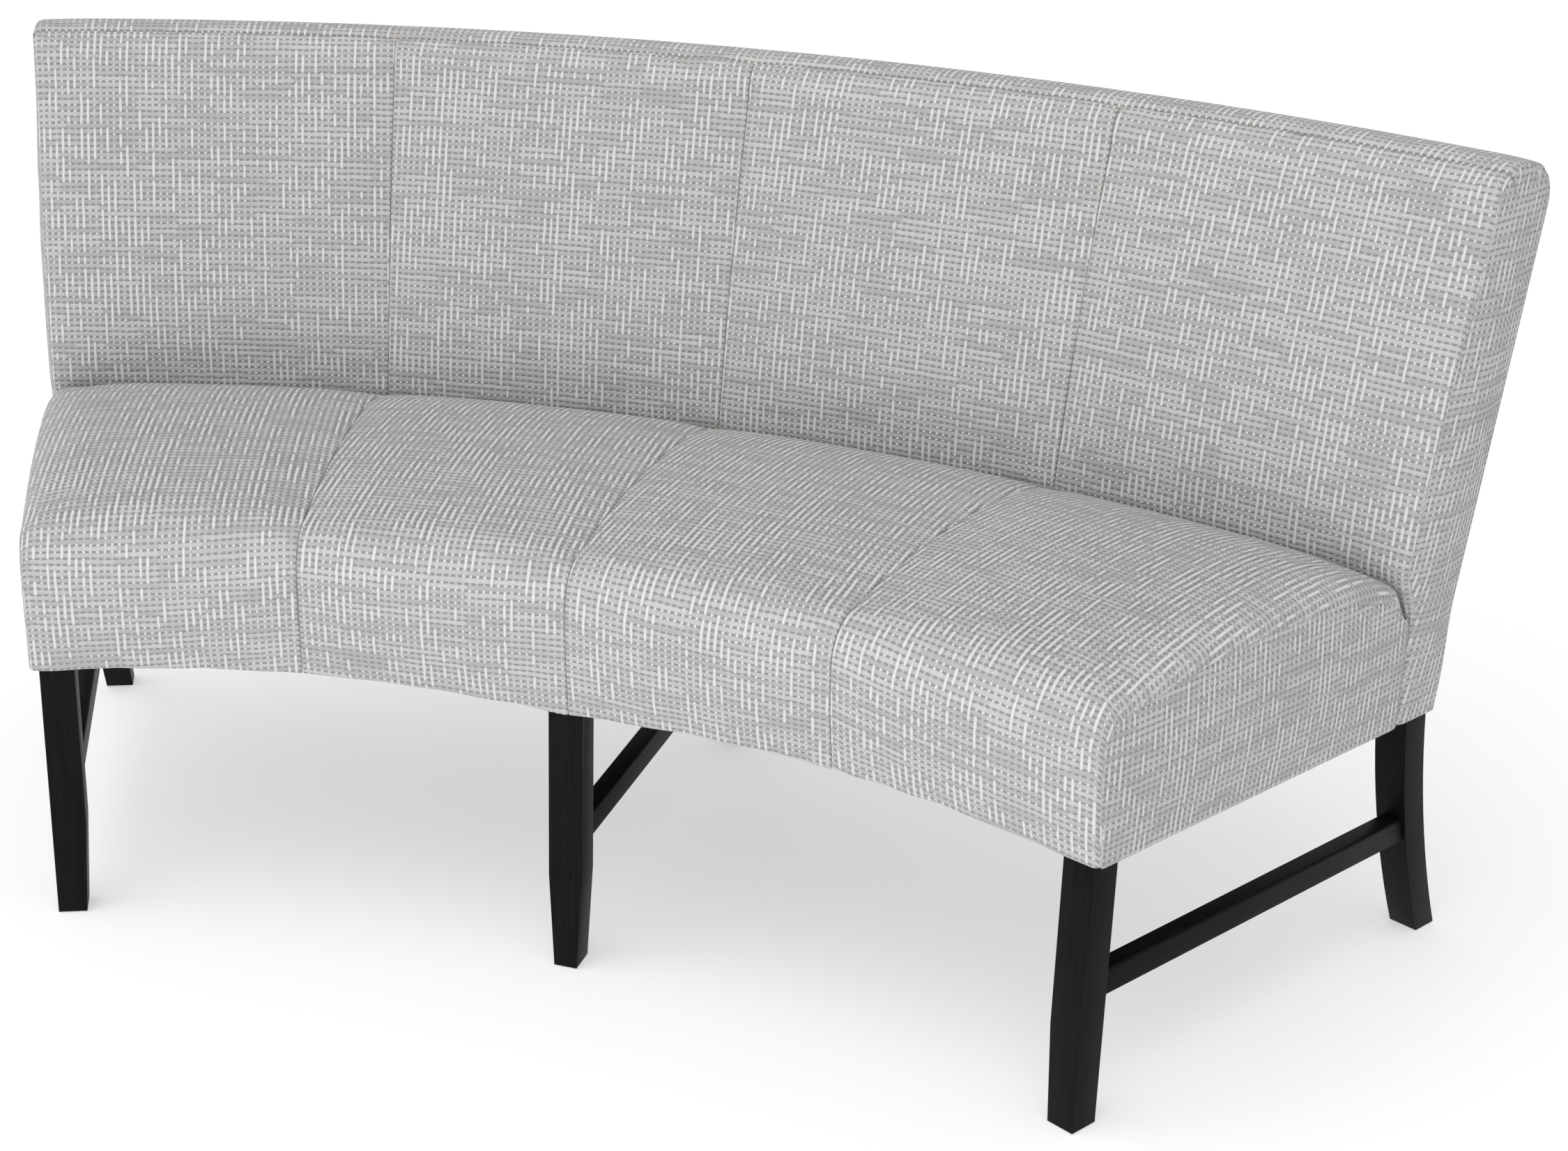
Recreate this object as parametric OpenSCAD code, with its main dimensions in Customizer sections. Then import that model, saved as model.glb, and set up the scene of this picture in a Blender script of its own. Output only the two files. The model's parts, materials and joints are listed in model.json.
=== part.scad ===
/* [Plan] */
// Radius of the arc through the front legs' faces
leg_arc_r = 1604; // [1500:1:1900]
// Distance from the arc's centre to the point that the seams and ends fan out from
fan_offset = 344; // [250:1:420]
// Angle of each end from the centre line, seen from the fan point
end_angle = 27.1; // [24:0.1:30]
// Sideways offset of the middle legs from the centre line
middle_offset = 6; // [0:1:15]
// Turn of the middle legs about the vertical
middle_turn = 1.7; // [0:0.1:3]

/* [Seat] */
// Height of the seat's highest line
seat_crown_z = 505; // [480:1:540]
// Drop of the seat from its highest line to the crease
crease_drop = 32; // [24:1:40]
// Depth of the crease behind the leg line
crease_depth = 445; // [420:1:460]
// Distance that the front hem stands in front of the legs
hem_lead = 8; // [6:0.5:14]
// How much further the front face swells out above the hem
front_swell = 10; // [4:0.5:14]
// Drop of the seat from its highest line to the front fold's top
front_drop = 23; // [16:1:30]
// Depth of the rounded front fold
front_fold_run = 38; // [30:1:50]
// Height of the rounded front fold
front_fold_rise = 52; // [46:1:58]

/* [Back] */
// Slope of the sitter's side of the back, run over rise
back_slope = 0.207; // [0.19:0.001:0.215]
// Slope of the posts and the outside back, run over rise
post_slope = 0.18; // [0.16:0.005:0.19]
// Height of the back's rounded top, under the top band
back_fold_rise = 40; // [33:1:48]
// Height of the top band
top_z = 880; // [872:1:886]
// Width of the flat of the top band
band_flat_w = 52; // [46:1:56]
// Forward swell of the back between crease and top
back_belly = 7; // [0:0.5:12]

/* [Cover] */
// Thickness of a cover panel with its thin lining
cover_t = 3; // [2:0.25:4]
// Drop from the rails' lower edges to the hem at the end legs
hem_end_drop = 19; // [14:1:22]
// Drop from the rails' lower edges to the hem at the middle legs
hem_middle_drop = 13; // [10:1:18]
// Rise of the hem's arch between two legs
hem_arch = 10; // [0:1:12]
// Fullness of a seat panel between its seams
seat_puff = 5; // [0:0.5:8]
// Fullness of a back panel between its seams
back_puff = 6; // [0:0.5:8]
// Fullness of the end gussets
gusset_puff = 5; // [0:0.5:7]
// Radius of the seat's end edge along the top
seat_edge_r = 24; // [16:1:28]
// Radius of the end edges along the front faces
face_edge_r = 8; // [5:0.5:9]
// Gentle drop of the seat towards each end
end_fall = 8; // [0:1:12]
// Width over which the seat drops towards each end
end_fall_w = 160; // [100:5:220]

/* [Legs] */
// Width of a leg
leg_w = 38; // [34:1:44]
// Depth of a front leg and of the back posts
leg_d = 34.4; // [32:0.2:38]
// Distance from the end of the cover to the outer face of an end leg
leg_inset = 9.7; // [9:0.1:14]
// Height where the front legs begin to taper
taper_z = 112; // [80:1:130]
// Taper of a front leg's inner side at the foot
foot_taper = 6; // [2:0.5:8]
// Distance from the crease to the posts' front faces, at the seat
back_room = 50.5; // [45:0.5:60]
// Height above the rails' lower edges where a rear leg starts to sweep back to its foot
kick_rise = 58; // [38:5:78]
// Distance that a rear foot is swept back
kick_back = 106; // [80:1:120]
// Distance that an end rear foot is swept inwards
kick_in = 14; // [6:0.5:24]
// Height of the bend up to the posts' full slope
bend_h = 60; // [50:5:80]
// Drop from the top band to the top of the posts
post_drop = 23; // [21:1:33]
// Loss of width and depth at a rear foot
rear_taper = 4; // [2:0.5:6]

/* [Stretchers] */
// Height of the stretchers' upper faces
stretcher_z = 167; // [150:1:185]
// Height of a stretcher
stretcher_h = 30; // [24:1:36]
// Width of a stretcher
stretcher_w = 22.3; // [20:0.1:26]
// Bevel along a stretcher's edges
stretcher_bevel = 2; // [1:0.5:4]
// Length of a tenon
tenon_l = 14; // [10:1:16]
// Width of a tenon
tenon_w = 10; // [8:1:12]
// Shoulder above and below a tenon
tenon_shoulder = 6; // [4:1:8]

/* [Rails] */
// Height of the whole seat, from the rails' lower edges to its highest line
seat_build = 183; // [175:1:190]
// Height of the seat rails
rail_h = 75; // [70:1:80]
// Thickness of the rails
rail_t = 26; // [22:1:28]
// Distance of the rear seat rail behind the posts' front faces
rear_rail_set = 6.5; // [4.5:0.5:8.5]
// Height of the two rails in the back
back_rail_h = 55; // [45:1:65]
// Drop from the crease to the lower edge of the lower back rail
lower_rail_drop = 33; // [3:1:43]
// Side of a corner block along its rails
block_side = 78; // [60:1:90]
// Height of a corner block
block_h = 45; // [35:1:55]
// Radius of a dowel
dowel_r = 4; // [3:0.5:5]
// Length of a dowel
dowel_l = 36; // [30:1:40]
// Radius of a block screw's shank
screw_r = 2.2; // [1.8:0.1:2.6]
// Length of a block screw
screw_l = 42; // [36:1:48]

/* [Suspension] */
// Width of a webbing strap
strap_w = 50; // [40:1:60]
// Thickness of a webbing strap
strap_t = 2; // [1.5:0.1:3]
// Thickness of the hessian over the webbing
hessian_t = 1.2; // [1:0.1:2]
// Thickness of the bent panel behind the back foam
panel_t = 5; // [4:0.5:6]
// Thickness of the outside back's stiff lining
lining_t = 2; // [1.5:0.1:2.5]
// Thickness of the dust cover
dust_t = 1; // [0.8:0.1:1.5]
// Radius of a foot glide
glide_r = 11; // [8:0.5:12]
// Height of a foot glide below the leg
glide_drop = 1.5; // [1:0.1:2]
// Depth of a foot glide in the leg
glide_seat = 2.5; // [2:0.1:4]

/* [Hidden] */

// Number of cover panels along the seat and along the back
panels = 4;
// Facets in a full turn of the large arcs and of the small holes
arc_fn = 360;
hole_fn = 32;
// Clearance between wooden or flat neighbours, between seams, and between foam and cover
fit = 0.3;
seam_gap = 0.4;
foam_gap = 1.2;
// Running clearance of dowels and screws in their holes
hole_gap = 0.1;
// Length that a cut runs past what it cuts
overrun = 5;
// Power of the curve that sweeps a rear foot back
kick_power = 1.85;
// Depth behind the leg line where the seat is highest, and its share of the crease depth
crown_share = 0.517;
crown_depth = crown_share*crease_depth;
// Heights that follow from the seat's highest line and from the top band
rail_z = seat_crown_z - seat_build;
crease_z = seat_crown_z - crease_drop;
front_fold_z = seat_crown_z - front_drop - front_fold_rise;
hem_end_z = rail_z - hem_end_drop;
hem_middle_z = rail_z - hem_middle_drop;
kick_z = rail_z + kick_rise;
bend_end_z = kick_z + bend_h;
lower_rail_z = crease_z - lower_rail_drop;
post_top_z = top_z - post_drop;
back_fold_z = top_z - back_fold_rise;
// Depths behind the leg line that follow from the crease's depth
post_depth = crease_depth + back_room;
rear_rail_depth = post_depth + rear_rail_set;
// Depth and height of the rounded rear edge of the top band
rear_fold_run = 20;
rear_fold_rise = 28;
// Crown of the top band
band_crown = 5;
// Height where the back's cover leaves the seat's rear and runs straight down, below the crease
tuck_drop = 48;
tuck_z = crease_z - tuck_drop;
// Distance that the tucked covers run behind the crease
tuck_run = 25;
// Height of the screw holes' heads and the radius of a screw's head
screw_head_r = 4.2;
screw_head_h = 3;
// Distance of the wadding pads' edges from the covers' outline
pad_margin = 18;
// Positions across a panel, closer together at its seams
panel_shares = [0, 0.01, 0.03, 0.1, 0.3, 0.5, 0.7, 0.9, 0.97, 0.99, 1];
// Positions of the straps between the middle and an end
strap_shares = [0.12, 0.3, 0.48, 0.66, 0.82];
// Positions along the sides of the curved profiles
front_shares = [0, 0.35, 0.7, 1];
fold_shares = [0.25, 0.5, 0.78];
top_shares = [0.2, 0.42, 0.64, 0.84, 1];

rail_top = rail_z + rail_h;
// Heights of the points that draw the bend of the posts
bend_heights = [for (k = [0:4]) lerp(kick_z, bend_end_z, k/4)];
foam_z = rail_top + strap_t + hessian_t + 3*fit;
fold_top_depth = front_fold_run - hem_lead - front_swell;
fan_r = leg_arc_r - fan_offset;
// How far the back's arcs stand clear of the square end posts, in front and behind
arc_lead = fit + post_front(post_top_z) - end_depth(leg_w/2, post_front(post_top_z));
arc_lag = fit + end_depth(-leg_w/2, post_depth + leg_d) - post_depth - leg_d;
skin_out = arc_lag + lining_t + cover_t + 2*seam_gap;
// The whole bench is set so that its box is centred on the origin
bench_front = min([for (s = panel_shares) let (a = lerp(seam_angle(panels - 1), end_angle, s)) fan_point(a,
    roll(end_distance(a, 0), face_edge_r) - hem_lead - front_swell - 0.4*seat_puff*crown(s),
        panel_shift(panels - 1, s))[1]]);
bench_back = leg_arc_r + post_front(glide_drop) + leg_d - rear_taper/2;
mid_y = (bench_front + bench_back)/2;

function lerp(a, b, t) = a + (b - a)*t;
function unit(v) = v/norm(v);
function side(a) = [cos(a), -sin(a)];
function fan_reach(a, r) = sqrt(r*r - pow(fan_offset*sin(a), 2)) - fan_offset*cos(a);
// Plan point on the fan line at an angle, a depth behind the leg line, moved sideways by a shift
function fan_point(a, depth, shift = 0) = let (s = fan_reach(a, leg_arc_r + depth))
    [s*sin(a), fan_offset + s*cos(a)] + shift*side(a);
function place(a, p, shift = 0) = let (q = fan_point(a, p[0], shift)) [q[0], q[1] - mid_y, p[1]];
function end_point(depth, inset) = fan_point(end_angle, depth, -inset);
function end_leg_xy() = end_point(0, leg_inset + leg_w/2);
// Depth behind the leg line of a point in the frame of an end pair of legs
function end_depth(x, y) = norm(end_leg_xy() + x*side(end_angle) + y*[sin(end_angle),
    cos(end_angle)]) - leg_arc_r;
function end_azimuth(y) = let (p = end_leg_xy() + y*[sin(end_angle), cos(end_angle)]) atan(p[0]/p[1]);
function middle_azimuth(y) = atan((-middle_offset - y*sin(middle_turn))/(leg_arc_r + y*cos(middle_turn)));
function seam_angle(k) = end_angle*(2*k/panels - 1);

// Depth of a post's front face at a height: swept foot, short bend, straight slope
function kick(z) = z < kick_z ? pow((kick_z - z)/kick_z, kick_power) : 0;
function post_front(z) = let (bend = bend_end_z - kick_z)
    z < kick_z ? post_depth + kick_back*kick(z)
    : z < bend_end_z ? post_depth + post_slope*pow(z - kick_z, 2)/(2*bend)
    : post_depth + post_slope*(z - kick_z - bend/2);
function rear_skin(z) = post_front(max(z, kick_z)) + leg_d + skin_out;
function tuck_depth(z) = z < tuck_z ? crease_depth + tuck_run
    : crease_depth + tuck_run*(crease_z - z)/(crease_z - tuck_z);
function front_skin(z) = z < crease_z ? tuck_depth(z)
    : crease_depth + back_slope*(z - crease_z) - back_belly*sin(180*(z - crease_z)/(back_fold_z -
        crease_z));
function seat_top(d) = d < crown_depth
    ? seat_crown_z - front_drop*pow((crown_depth - d)/(crown_depth - fold_top_depth), 2)
    : seat_crown_z - (seat_crown_z - crease_z)*pow((d - crown_depth)/(crease_depth - crown_depth), 3);
function hem_z(a) = let (t = min(1, abs(a)/end_angle)) lerp(hem_middle_z, hem_end_z,
    t) + hem_arch*sin(180*t);

// Seat outline from a low height in front, over the top and down to a low height behind
function seat_profile(low, rear_low) = concat(
    [for (s = front_shares) [-hem_lead - front_swell*sin(90*s), lerp(low, front_fold_z, s)]],
    [for (s = fold_shares) [fold_top_depth - front_fold_run*cos(90*s),
        front_fold_z + front_fold_rise*sin(90*s)]],
    [for (s = concat([0], top_shares)) let (d = lerp(fold_top_depth, crease_depth, s)) [d, seat_top(d)]],
    [[tuck_depth(tuck_z) - seam_gap, tuck_z], [tuck_depth(rear_low) - seam_gap, rear_low]]);
// Back outline from a low height behind the seat up to the front seam of the top band
function band_start() = rear_skin(back_fold_z) - rear_fold_run - band_flat_w;
function back_profile(low) = let (rise = top_z - back_fold_z,
    run = band_start() - front_skin(back_fold_z)) concat(
    [[tuck_depth(low) + seam_gap, low], [tuck_depth(tuck_z) + seam_gap, tuck_z]],
    [for (s = [0:1/7:1]) let (z = lerp(crease_z, back_fold_z, s))
        [front_skin(z) + (s == 0 ? seam_gap : 0), z]],
    [for (s = [0.3, 0.65, 1]) [band_start() - run*cos(90*s), back_fold_z + rise*sin(90*s)]]);
function band_profile() = let (d = rear_skin(back_fold_z), flat = band_start() + seam_gap) concat(
    [for (s = [0, 0.5, 1]) [lerp(flat, d - rear_fold_run, s), top_z + band_crown*sin(180*s)]],
    [for (s = [0.35, 0.7, 1]) [d - rear_fold_run*(1 - sin(90*s)), top_z - rear_fold_rise*(1 - cos(90*s))]]);

// Outline moved in along its normals, by one depth for each point
function normals(p) = [for (i = [0:len(p) - 1])
    let (a = p[max(i - 1, 0)], b = p[min(i + 1, len(p) - 1)]) unit([a[1] - b[1], b[0] - a[0]])];
// The same, square to a seam at the last point, and at the first point too where both is true
function seam_normals(p, last, both = false) = let (n = normals(p), e = len(p) - 1)
    [for (i = [0:e]) i == e ? last : both && i == 0 ? [0, 1] : n[i]];
function moved_in(p, n, depths) = [for (i = [0:len(p) - 1]) p[i] - n[i]*depths[i]];
function roll(w, r) = w >= r ? 0 : r*(1 - sqrt(1 - pow(1 - max(w, 0)/r, 2)));
function end_distance(a, depth) = (fan_r + depth)*sin(end_angle - abs(a));
function crown(share) = 1 - pow(abs(2*share - 1), 4);
function fall(w) = end_fall*pow(max(0, 1 - w/end_fall_w), 2);

function seat_ring(a, shift, depth, puff, low, rear_low) = let (
    p = seat_profile(low, rear_low), n = normals(p),
    d = [for (i = [0:len(p) - 1]) let (w = end_distance(a, p[i][0]), up = max(0, n[i][1]),
        body = i == 0 || p[i][0] > crease_depth - fit ? 0 : 1)
        depth - puff*body*(0.4 + 0.6*up) + roll(w, lerp(face_edge_r, seat_edge_r, up)) + up*fall(w)])
    [for (q = moved_in(p, n, d)) place(a, q, shift)];
function back_ring(a, shift, depth, puff, low) = let (
    p = back_profile(low), n = seam_normals(p, [0, 1]),
    d = [for (i = [0:len(p) - 1]) let (s = max(0, (p[i][1] - crease_z)/(top_z - crease_z)))
        depth - puff*crown(s) + roll(end_distance(a, p[i][0]), face_edge_r)])
    [for (q = moved_in(p, n, d)) place(a, q, shift)];
function band_ring(a, shift, depth) = let (p = band_profile(), n = seam_normals(p, [1, 0], true))
    [for (q = moved_in(p, n, [for (q = p) depth + roll(end_distance(a, q[0]), face_edge_r)]))
        place(a, q, shift)];
function panel_shift(k, share) = lerp(k == 0 ? cover_t + fit : seam_gap/2,
    k == panels - 1 ? -cover_t - fit : -seam_gap/2, share);

// Closed solid between two grids of points that have the same rows and columns
module slab(top, under) {
    rows = len(top);
    cols = len(top[0]);
    function id(i, j, k) = (k*rows + i)*cols + j;
    function strip(a, b, c, d) = [[a, d, c], [a, c, b]];
    polyhedron(points = concat([for (r = top) each r], [for (r = under) each r]), faces = concat(
        [for (i = [0:rows - 2], j = [0:cols - 2]) each concat(
            strip(id(i, j, 0), id(i + 1, j, 0), id(i + 1, j + 1, 0), id(i, j + 1, 0)),
            strip(id(i, j, 1), id(i, j + 1, 1), id(i + 1, j + 1, 1), id(i + 1, j, 1)))],
        [for (i = [0:rows - 2]) each concat(
            strip(id(i, 0, 0), id(i, 0, 1), id(i + 1, 0, 1), id(i + 1, 0, 0)),
            strip(id(i, cols - 1, 0), id(i + 1, cols - 1, 0), id(i + 1, cols - 1, 1), id(i, cols - 1, 1)))],
        [for (j = [0:cols - 2]) each concat(
            strip(id(0, j, 0), id(0, j + 1, 0), id(0, j + 1, 1), id(0, j, 1)),
            strip(id(rows - 1, j, 0), id(rows - 1, j, 1), id(rows - 1, j + 1, 1),
                id(rows - 1, j + 1, 0)))]));
}

// Frame of a pair of legs: -1 left, 0 middle, 1 right; x points outwards, y to the rear, origin at the
// front leg
module station(i) {
    xy = i == 0 ? [-middle_offset, leg_arc_r] : [i*end_leg_xy()[0], end_leg_xy()[1]];
    translate([xy[0], xy[1] - mid_y, 0])
        rotate([0, 0, i == 0 ? middle_turn : -i*end_angle])
            mirror([i < 0 ? 1 : 0, 0, 0]) children();
}
// Sweep of a profile, drawn as depth behind the leg line and height, along the bench's arc
module sweep(points, a0 = -end_angle, a1 = end_angle) {
    translate([0, -mid_y, 0]) rotate([0, 0, 90 - a1]) rotate_extrude(angle = a1 - a0, $fn = arc_fn)
        polygon([for (p = points) [leg_arc_r + p[0], p[1]]]);
}
// Everything between the two ends, drawn in by an inset
module between_ends(inset, z0, z1) {
    apex = [0, fan_offset - mid_y + inset/sin(end_angle)];
    reach = 2*leg_arc_r;
    translate([0, 0, z0]) linear_extrude(z1 - z0)
        polygon([apex, apex + reach*[sin(end_angle), cos(end_angle)],
            apex + reach*[-sin(end_angle), cos(end_angle)]]);
}
// Strip that follows the bend and slope of the posts, from one depth to another
function sloped(d0, d1, z0, z1) = let (heights = concat([z0],
    [for (z = bend_heights) if (z > z0 && z < z1) z], [z1]),
    n = len(heights) - 1) concat(
    [for (k = [0:n]) [post_front(heights[k]) + d0, heights[k]]],
    [for (k = [n:-1:0]) [post_front(heights[k]) + d1, heights[k]]]);

/* Dowels */
long_dowel_x = leg_w/2 - rail_t/2;
cross_points = [for (z = [rail_z + rail_h/3, rail_z + 2*rail_h/3])
    each [[rail_t/3, z], [rear_rail_depth + rail_t*0.4, z]],
    for (z = [lower_rail_z + back_rail_h/2, post_top_z - back_rail_h/2]) [post_front(z) + rail_t*0.45, z]];
long_points = [for (z = [rail_z + rail_h/6, rail_z + 5*rail_h/6]) each [[leg_d, z], [post_front(z), z]]];
module dowels(i, gap = 0) {
    for (s = i == 0 ? [-1, 1] : [-1], p = cross_points) translate([s*leg_w/2, p[0], p[1]])
        rotate([0, 90, 0]) cylinder(h = dowel_l + 2*gap, r = dowel_r + gap, center = true, $fn = hole_fn);
    for (p = long_points) translate([i == 0 ? 0 : long_dowel_x, p[0], p[1]])
        rotate([90, 0, 0]) cylinder(h = dowel_l + 2*gap, r = dowel_r + gap, center = true, $fn = hole_fn);
}

/* Legs */
module front_leg_body(inner, outer) {
    rotate([90, 0, 0]) mirror([0, 0, 1]) linear_extrude(leg_d) polygon([
        [-leg_w/2 + inner, glide_drop], [leg_w/2 - outer, glide_drop], [leg_w/2, taper_z],
        [leg_w/2, rail_top], [-leg_w/2, rail_top], [-leg_w/2, taper_z]]);
}
// Side view and front view of a rear leg, whose crossing is the leg
module rear_leg_body(sweep_in) {
    heights = concat([for (k = [0:13]) lerp(glide_drop, kick_z, k/14)], bend_heights, [post_top_z]);
    top = len(heights) - 1;
    intersection() {
        translate([-leg_w, 0, 0]) rotate([90, 0, 90]) linear_extrude(2*leg_w) polygon(concat(
            [for (z = heights) [post_front(z), z]],
            [for (k = [top:-1:0]) let (z = heights[k]) [post_front(z) + leg_d - rear_taper*kick(z)/2, z]]));
        rotate([90, 0, 0]) mirror([0, 0, 1]) linear_extrude(2*post_depth) polygon(concat(
            [for (z = heights) [leg_w/2 - (sweep_in + rear_taper/2)*kick(z), z]],
            [for (k = [top:-1:0]) let (z = heights[k]) [-leg_w/2 - (sweep_in - rear_taper/2)*kick(z), z]]));
    }
}
module rear_leg_shape(i) { rear_leg_body(i == 0 ? 0 : kick_in); }
stretcher_x = leg_inset/5;
function tenon_rear(i) = post_front(stretcher_z - stretcher_h/2) + tenon_l;
module tenon_bar(i, gap) {
    y0 = leg_d - tenon_l - gap;
    translate([(i == 0 ? 0 : -stretcher_x) - tenon_w/2 - gap, y0,
        stretcher_z - stretcher_h + tenon_shoulder - gap])
        cube([tenon_w + 2*gap, tenon_rear(i) + gap - y0, stretcher_h - 2*tenon_shoulder + 2*gap]);
}
function glide_at(i, rear) = rear
    ? [i == 0 ? 0 : -kick_in, post_depth + kick_back + leg_d/2 - rear_taper/4]
    : [i == 0 ? 0 : foot_taper/2, leg_d/2];
module glide(i, rear, gap) {
    p = glide_at(i, rear);
    translate([p[0], p[1], 0]) cylinder(h = glide_drop + glide_seat + gap, r = glide_r + gap,
        $fn = hole_fn);
}
module front_leg(i) {
    color("#17171a") station(i) difference() {
        front_leg_body(foot_taper, i == 0 ? foot_taper : 0);
        dowels(i, hole_gap);
        tenon_bar(i, hole_gap);
        glide(i, false, hole_gap);
    }
}
module rear_leg(i) {
    color("#17171a") station(i) difference() {
        rear_leg_shape(i);
        dowels(i, hole_gap);
        tenon_bar(i, hole_gap);
        glide(i, true, hole_gap);
    }
}
module foot_glides() {
    color("#3a3a3c") for (i = [-1:1], rear = [false, true]) station(i) glide(i, rear, 0);
}

/* Stretchers */
module stretcher(i) {
    b = stretcher_bevel;
    w = stretcher_w/2;
    h = stretcher_h;
    color("#17171a") station(i) union() {
        difference() {
            translate([i == 0 ? 0 : -stretcher_x, leg_d, stretcher_z - h]) rotate([90, 0, 0])
                mirror([0, 0, 1])
                linear_extrude(tenon_rear(i) - leg_d) polygon([[-w + b, 0], [w - b, 0], [w, b], [w, h - b],
                    [w - b, h], [-w + b, h], [-w, h - b], [-w, b]]);
            rear_leg_shape(i);
        }
        tenon_bar(i, 0);
    }
}

/* Frame rails */
module legs_and_holes(i) {
    station(i) {
        translate([-leg_w/2, -overrun, 0]) cube([leg_w, 2*post_depth, top_z]);
        rear_leg_shape(i);
        dowels(i, hole_gap);
    }
}
// Curved rail between the middle station and an end
module bay_rail(i, points) {
    reach = end_azimuth(points[0][0] + rail_t/2);
    start = middle_azimuth(points[0][0] + rail_t/2);
    color("#c9a878") difference() {
        sweep(points, i < 0 ? -reach : start, i < 0 ? start : reach);
        legs_and_holes(0);
        legs_and_holes(i);
    }
}
function box_points(d0, d1, z0, z1) = [[d0, z0], [d1, z0], [d1, z1], [d0, z1]];
module front_rail(i) { bay_rail(i, box_points(0, rail_t, rail_z, rail_top)); }
module rear_rail(i) { bay_rail(i, box_points(rear_rail_depth, rear_rail_depth + rail_t, rail_z,
    rail_top)); }
module back_lower_rail(i) { bay_rail(i, sloped(-arc_lead, rail_t - arc_lead, lower_rail_z,
    lower_rail_z + back_rail_h)); }
module back_top_rail(i) { bay_rail(i, sloped(-arc_lead, rail_t - arc_lead, post_top_z - back_rail_h,
    post_top_z)); }
block_low = rail_z + (rail_h - block_h)/2;
screw_heights = [block_low + block_h/4, block_low + 3*block_h/4];
// Screws of one corner block: they pass through the block across its rail; s is the side of the rail
function screw_y(rear) = rear ? rear_rail_depth - block_side/2 : leg_d + block_side/2;
module block_screw(x, s, rear, z, gap) {
    seat = rail_t*0.7;
    translate([x, screw_y(rear), z]) rotate([0, s*90, 0]) {
        translate([0, 0, seat - screw_l - gap]) cylinder(h = screw_l + gap, r = screw_r + gap,
            $fn = hole_fn);
        translate([0, 0, seat]) cylinder(h = screw_head_h + (gap > 0 ? block_side : 0),
            r = screw_head_r + gap, $fn = hole_fn);
    }
}
module each_block_screw(i, gap) {
    for (s = i == 0 ? [-1, 1] : [-1], rear = [false, true], z = screw_heights)
        block_screw(i == 0 ? s*rail_t/2 : long_dowel_x - rail_t/2, s, rear, z + s*block_h/8, gap);
}
module straight_rail(i) {
    x = i == 0 ? -rail_t/2 : leg_w/2 - rail_t;
    color("#c9a878") station(i) difference() {
        translate([x, leg_d, rail_z]) cube([rail_t, post_depth + rail_t - leg_d, rail_h]);
        rear_leg_shape(i);
        translate([x - overrun, post_depth + leg_d/2, rail_z - overrun])
            cube([rail_t + 2*overrun, leg_d, rail_h + 2*overrun]);
        dowels(i, hole_gap);
        each_block_screw(i, hole_gap);
    }
}
// Triangular block with blunt points, trimmed to the curved rail
module block_outline(x, s, rear) {
    y = rear ? rear_rail_depth + fit : fit;
    turn = rear ? -1 : 1;
    blunt = block_side*0.2;
    translate([0, 0, block_low]) linear_extrude(block_h) polygon([
        [x + s*fit, y], [x + s*block_side, y], [x + s*block_side, y + turn*(rail_t + blunt)],
        [x + s*blunt, y + turn*(rail_t + block_side)], [x + s*fit, y + turn*(rail_t + block_side)]]);
}
module corner_blocks() {
    color("#b8925f") for (i = [-1:1], rear = [false, true]) difference() {
        station(i) for (s = i == 0 ? [-1, 1] : [-1]) block_outline(i == 0 ? s*rail_t/2 : long_dowel_x -
            rail_t/2, s, rear);
        if (rear) sweep(box_points(rear_rail_depth - fit, rear_rail_depth + 2*rail_t, rail_z, rail_top));
        else sweep(box_points(-2*rail_t, rail_t + fit, rail_z, rail_top));
        station(i) {
            front_leg_clear();
            rear_leg_clear(i);
            dowels(i, fit);
            each_block_screw(i, hole_gap);
        }
    }
}
module front_leg_clear() {
    translate([-leg_w/2 - fit, -overrun, 0]) cube([leg_w + 2*fit, leg_d + fit + overrun,
        rail_top + overrun]);
}
module rear_leg_clear(i) {
    translate([0, -fit, 0]) rear_leg_shape(i);
    translate([-leg_w/2 - fit, post_depth - fit, rail_z]) cube([leg_w + 2*fit, leg_d, rail_h]);
}
module block_screws() {
    color("#8c8d90") for (i = [-1:1]) station(i) each_block_screw(i, 0);
}
module rail_dowels() {
    color("#d8c093") for (i = [-1:1]) station(i) dowels(i);
}

/* Suspension and fillings */
module seat_webbing() {
    color("#2b2b2b") for (s = [-1, 1], share = strap_shares) let (a = s*share*end_angle,
        y0 = fan_reach(a, leg_arc_r + fit), y1 = fan_reach(a, leg_arc_r + rear_rail_depth + rail_t*0.8))
        translate([0, fan_offset - mid_y, rail_top]) rotate([0, 0, -a]) translate([-strap_w/2, y0, 0])
            cube([strap_w, y1 - y0, strap_t]);
}
module seat_hessian() {
    z = rail_top + strap_t + fit;
    color("#b79f72") intersection() {
        sweep(box_points(rail_t/8, post_depth - rail_t/8, z, z + hessian_t));
        between_ends(leg_inset + fit, rail_z, seat_crown_z);
    }
}
module seat_foam() {
    depth = cover_t + foam_gap;
    rings = [for (k = [0:16]) let (a = lerp(-end_angle, end_angle, k/16))
        seat_ring(a, lerp(leg_inset + fit, -leg_inset - fit, k/16), depth, 0, foam_z + 2*depth,
            foam_z + 2*depth)];
    last = len(rings[0]) - 1;
    color("#e8e3c8") slab(rings, [for (k = [0:16]) let (a = lerp(-end_angle, end_angle, k/16),
        shift = lerp(leg_inset + fit, -leg_inset - fit, k/16))
        [for (j = [0:last]) place(a, [lerp(rail_t/4, tuck_depth(foam_z) - depth, j/last), foam_z],
            shift)]]);
}
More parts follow.
